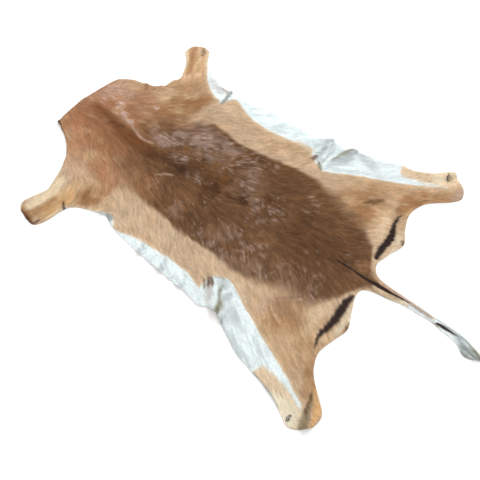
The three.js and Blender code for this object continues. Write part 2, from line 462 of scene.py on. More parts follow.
def lie_angle(x, y):
    """The way the hair points, in degrees outwards from straight back, to the right above 0"""
    angle = SPREAD * ramp(abs(x), *SPINE_BAND)
    front_leg = ramp(abs(x), *LEG_FROM_SPINE) * ramp(y, *LEG_ALONG)
    angle = angle + (LEG_SPREAD - angle) * front_leg
    swirl = sum(degrees * (blots(x, y, size, seed) - 0.5) for degrees, size, seed in SWIRLS)
    return np.sign(x) * angle + swirl


def along_hair(pattern, x, y, size, seed, stretch):
    """A pattern whose blots are long roughly in the direction of the hair"""
    middle = pattern(x, y, size, seed, stretch=stretch)
    right = pattern(x, y, size, seed + 40, stretch=stretch, turn=SPREAD)
    left = pattern(x, y, size, seed + 80, stretch=stretch, turn=-SPREAD)
    side = ramp(abs(x), *SPINE_BAND)
    return middle + (np.where(x > 0, right, left) - middle) * side


# %% Patterns combed along the hair's own lines
LINE_STEP = 2.2       # millimetres, less than the finest blots
STEPS_EACH_WAY = 5
PATTERNS = {"streaks": (6, 51), "grain": (3, 52), "gaps": (10, 79)}        # size and seed
NET_LAYERS = ((0.3, 8, 71, True), (0.4, 4.5, 75, True), (0.3, 3, 76))      # share, size, seed, folded
NET_PLACES = 5


def hair_line(x, y):
    """Places on the line on which the hair lies, from each given place outwards, both ways in turn"""
    line = [(x, y)]
    ends = {1: (x, y), -1: (x, y)}
    for _ in range(STEPS_EACH_WAY):
        for way, (px, py) in ends.items():
            angle = np.radians(lie_angle(px, py))
            ends[way] = (px + way * LINE_STEP * np.sin(angle), py - way * LINE_STEP * np.cos(angle))
            line.append(ends[way])
    return line


def combed(line, size, seed, folded=False):
    """Blots drawn out along the hair, from 0 to 1; folded blots leave thin lines"""
    total = 0
    for x, y in line:
        value = blots(x, y, size, seed)
        total = total + (1 - abs(2 * value - 1) if folded else value)
    middle = 0.65 if folded else 0.5
    reach = len(line) * LINE_STEP
    contrast = 0.4 * min(1, math.sqrt(size / reach))
    return ramp(total / len(line), middle - contrast, middle + contrast)


def combings(x, y):
    """The patterns that belong to whole hairs: streaks, grain, gaps and the curly net of the sheen"""
    line = hair_line(x, y)
    comb = {name: combed(line, size, seed) for name, (size, seed) in PATTERNS.items()}
    comb["net"] = sum(share * combed(line[:NET_PLACES], *layer) for share, *layer in NET_LAYERS)
    return comb


# %% [markdown]
# ## The large tints
#
# The neck is fox brown, the haunches are biscuit and the flanks fawn. Each tint is a soft oval. A
# wobble from the clouds keeps the ovals from looking like ovals. The saddle has a table of its own,
# because its tints show only where it is dark.

# %% Soft ovals of colour
# colour, then its ovals: x, y, half width, half length, turn to the left in degrees, strength
TINTS = (
    ("fox", (0, 960, 250, 180, 0, 1.0), (-80, 820, 190, 130, 0, 0.95), (70, 810, 120, 110, 0, 0.85),
     (190, 880, 90, 60, 0, 0.4), (-200, 780, 110, 56, -10, 0.7)),
    ("chestnut", (110, 800, 90, 60, 0, 0.5)),
    ("rose", (-204, 862, 56, 46, 0, 0.35)),
    ("copper", (-90, 985, 110, 90, 0, 0.55)),
    ("chestnut", (-110, 880, 90, 80, 0, 0.25)),
    ("rose", (90, 1000, 80, 50, -20, 0.5), (96, 940, 50, 40, 0, 0.4)),
    ("biscuit", (190, 830, 90, 60, 0, 0.5)),
    ("chestnut", (216, 800, 110, 70, 0, 0.65), (302, 820, 50, 36, 0, 0.5)),
    ("sand", (176, 842, 44, 34, 0, 0.45)),
    ("biscuit", (-262, 826, 70, 50, 0, 0.8)),
    ("sand", (-205, 700, 40, 56, -10, 0.3), (-258, 660, 26, 50, 0, 0.7)),
    ("chestnut", (-246, 776, 64, 44, -12, 1.0)),
    ("biscuit", (-244, 722, 44, 34, 0, 0.5)),
    ("chestnut", (170, 752, 130, 46, -12, 0.75), (214, 735, 72, 34, -28, 0.5)),
    ("biscuit", (320, 850, 130, 80, 20, 0.8), (-340, 845, 110, 60, 0, 0.6)),
    ("apricot", (-312, 842, 90, 46, 0, 0.7)),
    ("biscuit", (-240, 80, 150, 190, 10, 0.9)),
    ("chestnut", (-212, 118, 76, 62, 20, 0.62), (-252, 42, 28, 26, 0, 0.6)),
    ("biscuit", (250, 80, 150, 190, -10, 0.9), (226, 430, 50, 120, 0, 0.5)),
    ("sand", (-290, 90, 40, 80, 20, 0.3)),
    ("heather", (-206, 150, 50, 60, 24, 0.2)),
    ("rose", (-232, 186, 34, 26, 0, 0.35)),
    ("chestnut", (214, 130, 68, 74, 0, 0.6), (178, 162, 50, 64, 0, 0.65),
     (156, 104, 60, 40, -20, 0.75)),
    ("sand", (150, 44, 100, 22, 4, 0.75), (220, 50, 50, 18, 0, 0.4)),
    ("ivory", (116, -18, 80, 14, 0, 0.55)),
    ("sand", (-168, 52, 80, 30, -6, 0.85)),
    ("ivory", (-130, -14, 100, 18, 0, 0.6)),
    ("sand", (-242, 610, 40, 60, 0, 0.35), (256, 620, 42, 60, 0, 0.5), (-222, 520, 36, 70, 0, 0.4),
     (-206, 262, 24, 76, 0, 0.6)),
    ("cream", (-238, 236, 18, 44, 20, 0.4)),
    ("chestnut", (-318, -14, 66, 18, 28, 0.7), (-340, -34, 46, 26, 0, 0.9),
     (262, 28, 56, 26, -10, 0.8), (308, 4, 50, 30, 0, 0.85), (330, -30, 70, 24, -48, 0.75),
     (356, -70, 30, 34, 30, 0.5)),
    ("apricot", (-378, -82, 60, 16, -4, 0.8), (-346, -62, 50, 22, 20, 0.75)),
    ("blush", (-372, -34, 40, 20, 20, 0.5)),
)
SADDLE_TINTS = (
    ("fox", (-120, 700, 80, 90, 0, 0.35)),
    ("chestnut", (-146, 660, 26, 60, 0, 0.35)),
    ("walnut", (-40, 620, 50, 60, 0, 0.3)),
    # heather: a veil of painted sheen over the saddle
    ("heather", (-180, 330, 26, 90, 0, 0.4), (-150, 264, 42, 44, 0, 0.4), (150, 636, 28, 44, 0, 0.5),
     (-118, 388, 44, 44, 0, 0.35), (112, 560, 60, 60, 0, 0.3), (-146, 545, 26, 40, 0, 0.5),
     (-150, 440, 50, 90, 0, 0.2), (-130, 150, 70, 100, 0, 0.2), (90, 620, 90, 120, 0, 0.3),
     (60, 440, 80, 90, 0, 0.2)),
    ("walnut", (20, 190, 140, 110, 0, 0.55), (110, 330, 80, 90, 0, 0.3), (40, 90, 90, 70, 0, 0.45),
     (158, 470, 22, 190, 0, 0.4), (-176, 480, 20, 130, 0, 0.35), (-30, 518, 78, 60, 0, 0.85),
     (-60, 590, 80, 50, 0, 0.4), (36, 496, 44, 34, 0, 0.75), (-80, 440, 60, 60, 0, 0.3),
     (26, 592, 34, 38, 0, 0.75), (40, 330, 56, 56, 0, 0.6), (-132, 484, 46, 66, 0, 0.5)),
    ("espresso", (6, 414, 24, 30, 0, 0.75), (-10, 430, 12, 50, 0, 0.6), (-20, 622, 26, 30, 0, 0.45),
     (-20, 510, 30, 30, 0, 0.4)),
    ("amber", (47, 658, 14, 17, 0, 0.9), (85, 586, 18, 14, 0, 0.7), (60, 545, 18, 16, 0, 0.6),
     (30, 500, 30, 20, 0, 0.5)),
    # heather: more painted sheen
    ("heather", (126, 690, 60, 60, 0, 0.4)),
    ("fox", (136, 726, 60, 50, 0, 0.5), (-80, 560, 90, 90, 0, 0.2)),
    ("walnut", (-40, 120, 110, 90, 0, 0.3)),
    ("fox", (20, 20, 60, 24, 0, 0.3)),
)


def oval(x, y, middle_x, middle_y, across, along, turn):
    """1 inside an oval, falling softly to 0 at its edge"""
    u, v = turned(x - middle_x, y - middle_y, turn)
    return 1 - ramp(np.hypot(u / across, v / along), 0.35, 1.0)


def lay_ovals(coat, x, y, table, wobble, size=34):
    """The coat with every oval of a table laid over it"""
    shift_x = wobble * (clouds(x, y, size, 31) - 0.5)
    shift_y = wobble * (clouds(x, y, size, 35) - 0.5)
    for colour, *ovals in table:
        for *shape, strength in ovals:
            coat = lay(coat, colour, strength * oval(x + shift_x, y + shift_y, *shape))
    return coat


# %% [markdown]
# ## The saddle and the white belly
#
# The dark saddle is written as its half widths at places along the spine, with the softness of its
# edge: sharp on the flanks, vague on the haunches and towards the neck. The white belly has notches
# at the armpits and groins, so each side of it is a closed outline, and a hair's distance to that
# outline gives the soft edge.

# %% The saddle: along the spine, half width left and right, softness left and right
SADDLE = np.array((
    (-70, 9, 9, 12, 12), (-20, 16, 14, 12, 12), (0, 26, 20, 12, 12), (14, 50, 46, 12, 10),
    (36, 90, 92, 16, 12), (60, 118, 106, 24, 18), (80, 138, 126, 34, 24), (110, 156, 140, 44, 32),
    (150, 148, 146, 42, 38), (180, 156, 156, 38, 36), (220, 172, 170, 28, 28), (260, 184, 179, 18, 16),
    (300, 188, 182, 12, 9), (340, 187, 181, 10, 8), (380, 182, 179, 9, 8), (440, 182, 169, 8, 8),
    (480, 186, 163, 8, 8), (540, 176, 160, 8, 8), (600, 174, 164, 9, 8), (650, 169, 165, 10, 9),
    (690, 163, 150, 20, 22), (720, 152, 124, 34, 34), (760, 136, 112, 40, 30), (800, 124, 84, 56, 40),
    (860, 110, 60, 70, 50), (1000, 100, 30, 70, 50),
))
SADDLE_FADES = (670, 900)     # the dark coat thins out between these places towards the neck
SADDLE_TUFTS = (8, 30)        # how far its hair reaches over its edges, sideways and forwards
SADDLE_WAVES = (8, 50)        # how far its edges wave, sideways and forwards

# %% Outlines of the white fur, on the outer side of the tan
WHITE_RIGHT = (
    (400, 842), (364, 821), (336, 801), (310, 781), (290, 760), (275, 738), (263, 718), (260, 696),
    (248, 682), (262, 674), (284, 662), (291, 648), (283, 628), (271, 602), (261, 578), (256, 545),
    (252, 495), (256, 455), (262, 415), (267, 380), (269, 347), (251, 336), (232, 305), (222, 283),
    (231, 259), (253, 221), (274, 179), (300, 121), (327, 60), (360, 0), (376, -24), (390, -48),
    (540, -62), (540, 842),
)
WHITE_LEFT = (
    (-318, 806), (-300, 779), (-290, 758), (-280, 738), (-269, 716), (-262, 694), (-268, 674),
    (-291, 650), (-284, 620), (-274, 585), (-272, 547), (-270, 500), (-267, 470), (-271, 399),
    (-290, 343), (-281, 348), (-256, 345), (-240, 335), (-229, 321), (-222, 298), (-229, 275),
    (-246, 245), (-268, 200), (-296, 140), (-323, 81), (-350, 20), (-381, -38), (-400, -52),
    (-540, -62), (-540, 806),
)
INNER_LEG_RIGHT = (
    (386, 103), (350, 92), (346, 78), (350, 60), (360, 30), (373, 0), (388, -32), (394, -56),
    (540, -120), (540, 100),
)
INNER_LEG_LEFT = (
    (-386, 106), (-356, 92), (-357, 60), (-363, 30), (-374, -4), (-387, -32), (-392, -50),
    (-540, -120), (-540, 104),
)


def depth_inside(x, y, outline):
    """How far a place is inside a closed outline, below 0 outside it, in millimetres"""
    nearest = np.full(len(x), np.inf)
    crossings = np.zeros(len(x), int)
    for (x0, y0), (x1, y1) in zip(outline, outline[1:] + outline[:1]):
        _, distance = to_segment(x, y, (x0, y0), (x1, y1))
        nearest = np.minimum(nearest, distance)
        if y0 != y1:
            level = (y0 > y) != (y1 > y)
            crossings += level & (x < x0 + (y - y0) * (x1 - x0) / (y1 - y0))
    return np.where(crossings % 2 == 1, nearest, -nearest)


# %% [markdown]
# ## The small marks
#
# Stripes and scars run along lines, and so do the painted shade of creases, slits and holes and the
# painted highlight beside the mane ridge, so they are strokes: a line through a few places, with a
# half width at each. The tail's dark line, the two black rump stripes and the orange rims of the front
# legs are all strokes.

# %% Strokes of colour
# colour, strength, softness of the edge, then x, y and half width at each place
STROKES = (
    ("rust", 0.5, 16, ((34, 822, 6), (26, 800, 6))),
    # rust beside the mane ridge: its darker coat, with painted shade on the side away from the lamp
    ("rust", 0.3, 60, ((-20, 990, 6), (-30, 900, 20), (-40, 820, 26), (-40, 740, 16))),
    ("rust", 0.65, 22, ((8, 985, 2), (-4, 905, 9), (-14, 860, 14), (-20, 815, 15), (-22, 770, 13),
                        (-24, 730, 6))),
    ("espresso", 0.35, 24, ((-30, 740, 6), (-20, 690, 10), (-14, 640, 14), (-20, 600, 10))),
    # painted highlight along the lit side of the mane ridge
    ("rose", 0.5, 5, ((60, 940, 1), (44, 916, 2), (28, 884, 3), (15, 852, 2), (5, 826, 2),
                      (-3, 800, 2.5), (-3, 776, 2), (4, 754, 2))),
    ("cream", 0.9, 14, ((-262, 884, 10), (-300, 880, 15), (-350, 888, 18), (-370, 894, 13))),
    ("chestnut", 0.6, 14, ((-316, 856, 3), (-356, 861, 5), (-394, 876, 9))),
    ("rust", 0.7, 10, ((-401, 902, 2), (-405, 884, 6), (-410, 860, 6))),
    ("espresso", 0.6, 4, ((-403, 896, 1), (-408, 872, 2), (-412, 852, 2))),
    # painted shade in the slit of the left front leg end
    ("espresso", 0.7, 4, ((-414, 847, 2), (-404, 843, 2), (-392, 839, 1))),
    ("cream", 0.6, 8, ((-376, 826, 2), (-352, 820, 4), (-332, 816, 2))),
    # painted shade in the tear behind the left front leg
    ("ink", 0.75, 4, ((-308, 829, 0.5), (-316, 820, 1.5), (-321, 812, 2), (-326, 804, 4))),
    ("cream", 0.7, 12, ((252, 862, 2), (290, 868, 6), (330, 886, 8), (356, 908, 8))),
    ("chestnut", 0.7, 14, ((290, 846, 3), (330, 862, 6), (366, 884, 8), (388, 896, 6))),
    # painted shade in the slit of the right front leg end
    ("espresso", 0.6, 3.5, ((378, 857, 0.8), (392, 861, 1.4), (406, 868, 1.2))),
    ("rust", 0.5, 3.5, ((380, 851, 0.6), (392, 855, 1), (402, 859, 0.6))),
    ("chestnut", 0.6, 8, ((10, 1050, 3), (60, 1040, 4), (110, 1024, 3), (134, 1010, 2))),
    ("chestnut", 0.6, 8, ((-110, 1048, 4), (-140, 985, 3), (-172, 945, 3))),
    # painted shade along the curled neck corner
    ("espresso", 0.8, 7, ((-106, 1048, 4), (-124, 1022, 3), (-146, 980, 1))),
    ("rose", 0.5, 4, ((-84, 680, 1), (-72, 664, 2), (-60, 652, 2.5), (-49, 628, 1))),
    ("rust", 0.6, 5, ((-90, 686, 3), (-86, 680, 3))),
    ("blush", 0.15, 7, ((-138, 665, 3), (-116, 660, 4), (-96, 652, 2))),
    ("blush", 0.35, 8, ((-166, 714, 3), (-172, 680, 3))),
    ("rust", 0.35, 8, ((158, 914, 3), (172, 922, 4))),
    ("rust", 0.25, 6, ((120, 988, 1), (138, 990, 2))),
    ("walnut", 0.55, 8, ((202, 124, 2), (218, 108, 5), (240, 87, 2))),
    ("walnut", 0.35, 6, ((206, 104, 2), (222, 92, 2))),
    ("chestnut", 0.5, 5, ((-222, 166, 1), (-240, 142, 2), (-250, 112, 1))),
    ("rose", 0.45, 4, ((-200, 172, 1), (-178, 152, 2), (-162, 126, 2), (-152, 104, 1))),
    ("walnut", 0.4, 3, ((-192, 168, 1), (-170, 140, 1.5), (-152, 116, 1))),
    ("sand", 0.4, 4, ((-206, 176, 1), (-228, 150, 2), (-240, 120, 1))),
    ("ink", 0.97, 5, ((224, 20, 0), (214, 23, 2), (200, 23, 3), (178, 18, 5), (158, 11, 7.5),
                      (140, 8, 8), (100, 12, 7), (78, 12, 6), (68, 10, 4))),
    ("ink", 0.97, 6, ((-68, 5, 3), (-88, 10, 7.5), (-120, 9, 8.5), (-150, 9, 8), (-178, 13, 6),
                      (-200, 19, 3.5), (-220, 20, 2), (-241, 12, 0))),
    ("chestnut", 0.5, 8, ((-160, -26, 2), (-150, -29, 4), (-140, -24, 2))),
    ("ink", 0.5, 5, ((-156, -28, 1), (-150, -27, 2))),
    ("ink", 0.5, 5, ((146, -30, 2), (154, -24, 3))),
    ("sand", 0.8, 6, ((-12, -30, 5), (-9, -70, 5), (-6, -100, 4), (-5, -124, 1))),
    ("blush", 0.9, 6, ((11, -34, 4), (8, -70, 4), (6, -110, 3.5), (4, -150, 2.5), (3, -195, 1.5))),
    # painted shadow line along the tail's left edge
    ("slate", 0.6, 2.5, ((-21, -46, 0.6), (-17, -90, 0.8), (-11, -125, 0.8), (-10, -200, 0.6))),
    ("ink", 0.95, 2.5, ((0, 92, 0.6), (-2, 34, 2), (-3, 0, 3.4), (-2, -20, 4.2), (-3, -52, 4.4),
                        (-1, -76, 2.4), (1, -98, 1.6), (3, -124, 0.8))),
    ("rust", 0.4, 5, ((-9, -204, 2), (-9, -216, 2))),
    ("ink", 0.95, 2.5, ((-4, -210, 1.4), (-4, -226, 2.8), (-5, -244, 1.8), (-5, -264, 0.8))),
    ("slate", 0.7, 3, ((-17, -222, 1), (-17, -246, 1))),
    ("slate", 0.7, 3, ((7, -200, 0.5), (6, -236, 1.2), (4, -262, 1), (-2, -300, 1), (-10, -322, 1))),
    # painted shade under the fold of the left hind leg
    ("olive", 0.6, 7, ((-346, -46, 1), (-366, -53, 4), (-398, -61, 7), (-426, -70, 9))),
    ("walnut", 0.6, 4, ((-338, -44, 1), (-366, -50, 2), (-390, -56, 2))),
    # painted shade in the creases of the left groin
    ("olive", 0.5, 5, ((-244, 301, 1), (-262, 297, 2), (-276, 289, 3), (-292, 275, 4), (-322, 267, 4))),
    ("slate", 0.6, 4, ((-240, 330, 1), (-230, 318, 1.5), (-228, 306, 1))),
    ("heather", 0.35, 12, ((-262, 330, 4), (-280, 320, 6), (-300, 308, 3))),
    ("walnut", 0.6, 3, ((-250, 346, 1), (-260, 336, 2.5), (-272, 328, 0.5))),
    ("walnut", 0.6, 3, ((-244, 340, 1), (-253, 329, 2.5), (-264, 318, 0.5))),
    ("walnut", 0.5, 3, ((-262, 348, 0.5), (-272, 340, 2), (-282, 336, 0.5))),
    ("walnut", 0.5, 3, ((240, 334, 0.5), (250, 326, 2), (262, 322, 0.5))),
    # painted shade along the left groin's edge
    ("slate", 0.35, 12, ((-334, 250, 8), (-350, 205, 6), (-370, 150, 3))),
    # painted shade in the creases and on the slopes of the right groin
    ("olive", 0.7, 5, ((224, 287, 2), (231, 298, 4), (242, 308, 2))),
    ("olive", 0.55, 5, ((272, 277, 1), (298, 268, 2), (316, 257, 3), (336, 246, 4))),
    ("slate", 0.5, 5, ((250, 296, 1), (276, 298, 2), (290, 294, 1))),
    ("slate", 0.35, 8, ((282, 316, 2), (300, 320, 5), (330, 330, 3))),
    ("slate", 0.35, 14, ((250, 280, 4), (280, 258, 8), (310, 240, 6))),
    # painted shade in the crease of the right armpit
    ("slate", 0.85, 4, ((310, 678, 3.5), (280, 677, 3.5), (250, 678, 3))),
    ("heather", 0.5, 6, ((306, 712, 3), (300, 694, 4), (290, 684, 3))),
    ("heather", 0.22, 16, ((286, 706, 4), (296, 736, 6), (312, 762, 4))),
    # painted shade beside the ripples of the left belly
    ("slate", 0.3, 7, ((-270, 553, 1), (-288, 548, 3), (-306, 542, 3))),
    ("slate", 0.3, 7, ((-272, 474, 1), (-292, 468, 3), (-308, 462, 3))),
    ("slate", 0.15, 7, ((-278, 398, 1), (-298, 392, 3), (-318, 386, 3))),
    # painted shade along the left edge of the white hind leg
    ("slate", 0.8, 6, ((-388, 100, 2), (-396, 76, 4), (-404, 44, 4), (-420, 8, 2))),
    # painted shade in the peg holes of the hind legs
    ("ink", 0.85, 3.5, ((-433, -29, 0.6), (-424, -29, 2.6), (-416, -30, 1))),
    ("ink", 0.85, 3.5, ((412, -36, 1), (421, -32, 2.6), (430, -28, 1))),
)
# slate and olive spots are painted shade in hollows of the groins, the left armpit and the right hind leg
GROIN_SPOTS = (
    ("walnut", (-256, 335, 20, 12, 20, 0.45)),
    ("slate", (-262, 270, 22, 16, 0, 0.45), (-330, 250, 26, 12, 30, 0.4)),
    ("walnut", (249, 326, 17, 12, 0, 0.5)),
    ("slate", (262, 318, 26, 16, 0, 0.5), (246, 300, 18, 12, 0, 0.4), (-272, 686, 17, 20, 10, 0.9)),
    ("ivory", (-412, 30, 26, 80, 14, 0.85), (-420, -30, 36, 30, 0, 0.8), (404, 0, 22, 60, -34, 0.7)),
    ("olive", (418, -38, 22, 12, -10, 0.45)),
    ("biscuit", (380, -58, 54, 50, 0, 0.35), (382, 14, 44, 74, -20, 0.2)),
    ("heather", (378, -92, 60, 32, 0, 0.65)),
    ("slate", (308, 286, 60, 120, 0, 0.1), (-300, 236, 34, 34, 0, 0.3)),
    ("chestnut", (-392, 898, 34, 24, 0, 0.5)),
    ("slate", (334, 192, 26, 60, -20, 0.35), (316, 324, 44, 44, 0, 0.2), (278, 358, 40, 34, 0, 0.2)),
    ("sand", (268, 374, 14, 44, 0, 0.6)),
    ("slate", (-240, 302, 22, 26, 0, 0.3)),
    ("olive", (-300, 272, 30, 16, 0, 0.3)),
)


def stroke(x, y, places, softness):
    """1 on a line with a half width at each of its places, falling to 0 over the softness"""
    reach = np.full(len(x), -np.inf)
    for (x0, y0, wide0), (x1, y1, wide1) in zip(places, places[1:]):
        t, distance = to_segment(x, y, (x0, y0), (x1, y1))
        reach = np.maximum(reach, wide0 + (wide1 - wide0) * t - distance)
    return ramp(reach, -softness, softness / 3)


# %% [markdown]
# ## The mottled sheen, painted into the coat
#
# On the saddle the hair parts and lies in small tufts, and their tips catch the light in a net of
# lilac grey curls. This sheen is painted highlight, laid into the hair's colour. The curls are mostly
# thin lines, which come from blots folded at their middle value: where the blots pass 0.5 there is a
# line. Soft clouds are mixed in. A table says how much of the net shows in each place: where the amount
# is high it closes to a pale patch, and where it is low only its brightest curls are left.

# %% How much painted sheen shows: x, y, half width, half length, turn, amount
SHEEN = (
    (32, 740, 42, 60, 0, 1.0), (46, 790, 30, 36, 0, 0.8), (62, 704, 56, 46, 0, 1.0),
    (96, 636, 70, 60, 0, 0.9), (116, 580, 60, 60, 0, 0.8), (72, 610, 50, 60, 0, 0.7),
    (4, 652, 40, 54, 0, 0.85), (-14, 576, 36, 56, 0, 0.75), (124, 500, 60, 90, 0, 0.65),
    (-8, 536, 24, 40, 0, 0.55), (50, 426, 52, 50, 0, 0.8), (60, 520, 50, 50, 0, 0.5),
    (16, 370, 40, 60, 0, 0.75), (10, 312, 50, 44, 0, 0.6), (140, 410, 40, 40, 0, 0.65),
    (100, 440, 60, 60, 0, 0.5), (-156, 455, 30, 50, 0, 0.65), (-170, 380, 30, 90, 0, 0.6),
    (-96, 380, 70, 60, 0, 0.5), (-50, 335, 80, 70, 0, 0.5), (-120, 300, 80, 70, 0, 0.55),
    (-150, 240, 50, 70, 0, 0.55), (-90, 190, 70, 60, 0, 0.4), (-100, 120, 70, 60, 0, 0.5),
    (-130, 80, 50, 40, 0, 0.5), (-30, 150, 50, 50, 0, 0.35), (70, 350, 50, 50, 0, 0.45),
    (100, 240, 60, 40, 20, 0.45), (150, 440, 30, 90, 0, 0.45), (60, 200, 60, 40, 0, 0.3),
    (20, 60, 50, 40, 0, 0.35), (-80, 640, 60, 50, 0, 0.3), (-110, 540, 60, 60, 0, 0.4),
    (-90, 470, 80, 60, 0, 0.35), (140, 660, 40, 50, 0, 0.6), (100, 740, 50, 40, 0, 0.45),
)
# painted highlights in the neck's hair, mostly right of the mane ridge
NECK_SHEEN = (
    (100, 1000, 40, 26, 0, 0.5), (106, 968, 34, 28, 0, 0.55), (69, 974, 26, 24, 0, 0.45),
    (60, 936, 36, 26, 0, 0.6), (100, 936, 28, 26, 0, 0.5), (34, 902, 24, 32, 0, 0.65),
    (24, 864, 20, 30, 0, 0.7), (8, 828, 12, 24, 20, 0.7), (-1, 802, 10, 26, 0, 0.75),
    (-2, 776, 9, 24, 0, 0.7), (117, 838, 15, 22, 0, 0.75), (150, 950, 26, 20, 0, 0.4),
    (40, 985, 44, 40, 0, 0.3), (-120, 975, 50, 40, 0, 0.2),
)


def amount_of(x, y, table):
    """The largest of a table's ovals at each place"""
    largest = np.zeros(len(x))
    for *shape, amount in table:
        largest = np.maximum(largest, amount * oval(x, y, *shape))
    return largest


def showing(amount, pattern):
    """The share of a pattern that shows: all of it where the amount is 1, its highest places near 0"""
    return ramp(pattern, 0.8 - 0.8 * amount, 1.3 - 0.8 * amount)


def darkness(x, y):
    """How far each place belongs to the dark saddle, from 0 to 1"""
    columns = [np.interp(y, SADDLE[:, 0], column) for column in SADDLE.T[1:]]
    half = np.where(x < 0, columns[0], columns[1])
    soft = np.where(x < 0, columns[2], columns[3])
    tufts = along_hair(blots, x, y, size=9, seed=53, stretch=3.0) - 0.5
    inward = half - abs(x) + SADDLE_TUFTS[0] * tufts + SADDLE_WAVES[0] * (blots(x, y, 40, 54) - 0.5)
    forward = y + SADDLE_WAVES[1] * (clouds(x, y, 50, 55) - 0.5) + SADDLE_TUFTS[1] * tufts
    return ramp(inward, -soft, soft * 0.8) * (1 - ramp(forward, *SADDLE_FADES))


# %% The coat, from its ground colour to the finest streak
# colour, size and seed of the clouds that mottle the ground colour
MOTTLES = (("sand", 30, 101), ("biscuit", 34, 105))
MOTTLE_STRENGTH = 0.4
# the painted sheen, a highlight laid into the hair's colour, and the shade between the hairs:
SHEEN_UNEVEN = (0.75, 0.5)      # the sheen's least amount, and what the clouds add to it
GAP_SHADE = (0.15, 0.3)         # how dark the gaps between the hairs are, and what the sheen adds to it
CURLS = 0.55                    # the share of the net in the sheen, the rest is clouds
CURL_LIGHT = (0.5, 0.3)         # how light the curls are, and what the grain adds to it
PATCH_LIGHT = 0.45              # how light the closed patches of the sheen are
NECK_LIGHT = 0.85               # and the curls on the neck
RAGGED_EDGE = 5                 # between hairs that stop short of the white's edge and those past it
RAGGED_MARKS = (3, 8)           # the same for the edges of strokes, sideways and along
SAND_RIM = (-16, -2)            # how far inside the white's outline its sandy rim begins and is full
WHITE_EDGE = (-4, 3)            # the same for the white itself
INNER_EDGE = (-4, 7)            # and for the pale inner skin of the hind legs
# how dark the painted shade of the small folds in the white is
FOLD_SHADE = 0.2
CLOUD_SHADE = 0.12              # how much lighter or darker whole areas are
HAIR_SHADE = 0.08               # how much single hairs differ
DARK_HAIR_SHADE = 0.06          # what that gains on the saddle
PALE_HAIR_SHADE = 0.04          # and loses where the coat is pale
# outline of the pale inner skin of a hind leg, and how creamy its end is
INNER_LEGS = ((INNER_LEG_RIGHT, 0.1), (INNER_LEG_LEFT, 0.85))
# colour, least strength, strength added by a pattern, the pattern, start and full strength behind the root
TAIL_COLOURS = (
    ("biscuit", 0.6, 0, "grain", 20, 60),
    ("chalk", 1, 0, "grain", 60, 120),
    ("slate", 0.15, 0.8, "streaks", 250, 285),
    ("olive", 0, 0.9, "grain", 290, 325),
)
TAIL_START = (30, 60)
TAIL_SIDES = (50, 60)
LEG_END_CREAM = (-50, 20)


def saddle_and_sheen(coat, x, y, comb):
    """The coat with the dark saddle and its painted sheen, and how dark each place is"""
    dark = darkness(x, y)
    saddle = np.tile(COLOURS["cocoa"], (len(x), 1))
    saddle = lay_ovals(saddle, x, y, SADDLE_TINTS, wobble=36, size=18)
    coat = coat + (saddle - coat) * dark[:, None]
    amount = amount_of(x, y, SHEEN) * (SHEEN_UNEVEN[0] + SHEEN_UNEVEN[1] * clouds(x, y, 30, 77))
    coat = lay(coat, "walnut", dark * (GAP_SHADE[0] + GAP_SHADE[1] * amount) * comb["gaps"])
    curls = CURLS * comb["net"] + (1 - CURLS) * ramp(clouds(x, y, 16, 73), 0.25, 0.75)
    sheen = showing(amount, curls) * ramp(dark, 0, 0.5)
    coat = lay(coat, "heather", sheen * (CURL_LIGHT[0] + CURL_LIGHT[1] * comb["grain"]))
    coat = lay(coat, "pearl", PATCH_LIGHT * sheen * ramp(amount, 0.7, 1) * comb["net"])
    coat = lay(coat, "pearl", NECK_LIGHT * showing(amount_of(x, y, NECK_SHEEN), comb["net"]))
    return coat, dark


def white_skin(coat, x, y):
    """The coat with the white belly, the painted shade of its soft folds, and the pale inner skin of the
    hind legs
    """
    ragged = RAGGED_EDGE * (along_hair(clouds, x, y, size=8, seed=57, stretch=3.0) - 0.5)
    # grey streaks of painted shade in the white's soft folds
    painted_fold_shade = ramp(along_hair(clouds, x, y, size=8, seed=95, stretch=8.0), 0.5, 0.8)
    for outline in (WHITE_RIGHT, WHITE_LEFT):
        depth = depth_inside(x, y, outline) + ragged
        coat = lay(coat, "sand", 0.6 * ramp(depth, *SAND_RIM))
        coat = lay(coat, "chalk", ramp(depth, *WHITE_EDGE))
        coat = lay(coat, "slate", FOLD_SHADE * ramp(depth, 0, 8) * painted_fold_shade)
    for outline, creamy in INNER_LEGS:
        inner = ramp(depth_inside(x, y, outline) + ragged, *INNER_EDGE)
        coat = lay(coat, "sand", 0.92 * inner)
        coat = lay(coat, "cream", creamy * inner * ramp(-y, *LEG_END_CREAM))
    return lay_ovals(coat, x, y, GROIN_SPOTS, wobble=8)


def tail_and_marks(coat, x, y, comb):
    """The coat with the colours of the tail and all strokes"""
    tail = ramp(-y, *TAIL_START) * (1 - ramp(abs(x), *TAIL_SIDES))
    for colour, least, added, pattern, start, full in TAIL_COLOURS:
        coat = lay(coat, colour, tail * ramp(-y, start, full) * (least + added * comb[pattern]))
    ragged_x = x + RAGGED_MARKS[0] * (along_hair(clouds, x, y, size=4, seed=61, stretch=2.0) - 0.5)
    ragged_y = y + RAGGED_MARKS[1] * (along_hair(clouds, x, y, size=4, seed=63, stretch=2.0) - 0.5)
    for colour, strength, softness, places in STROKES:
        coat = lay(coat, colour, strength * stroke(ragged_x, ragged_y, places, softness))
    return coat


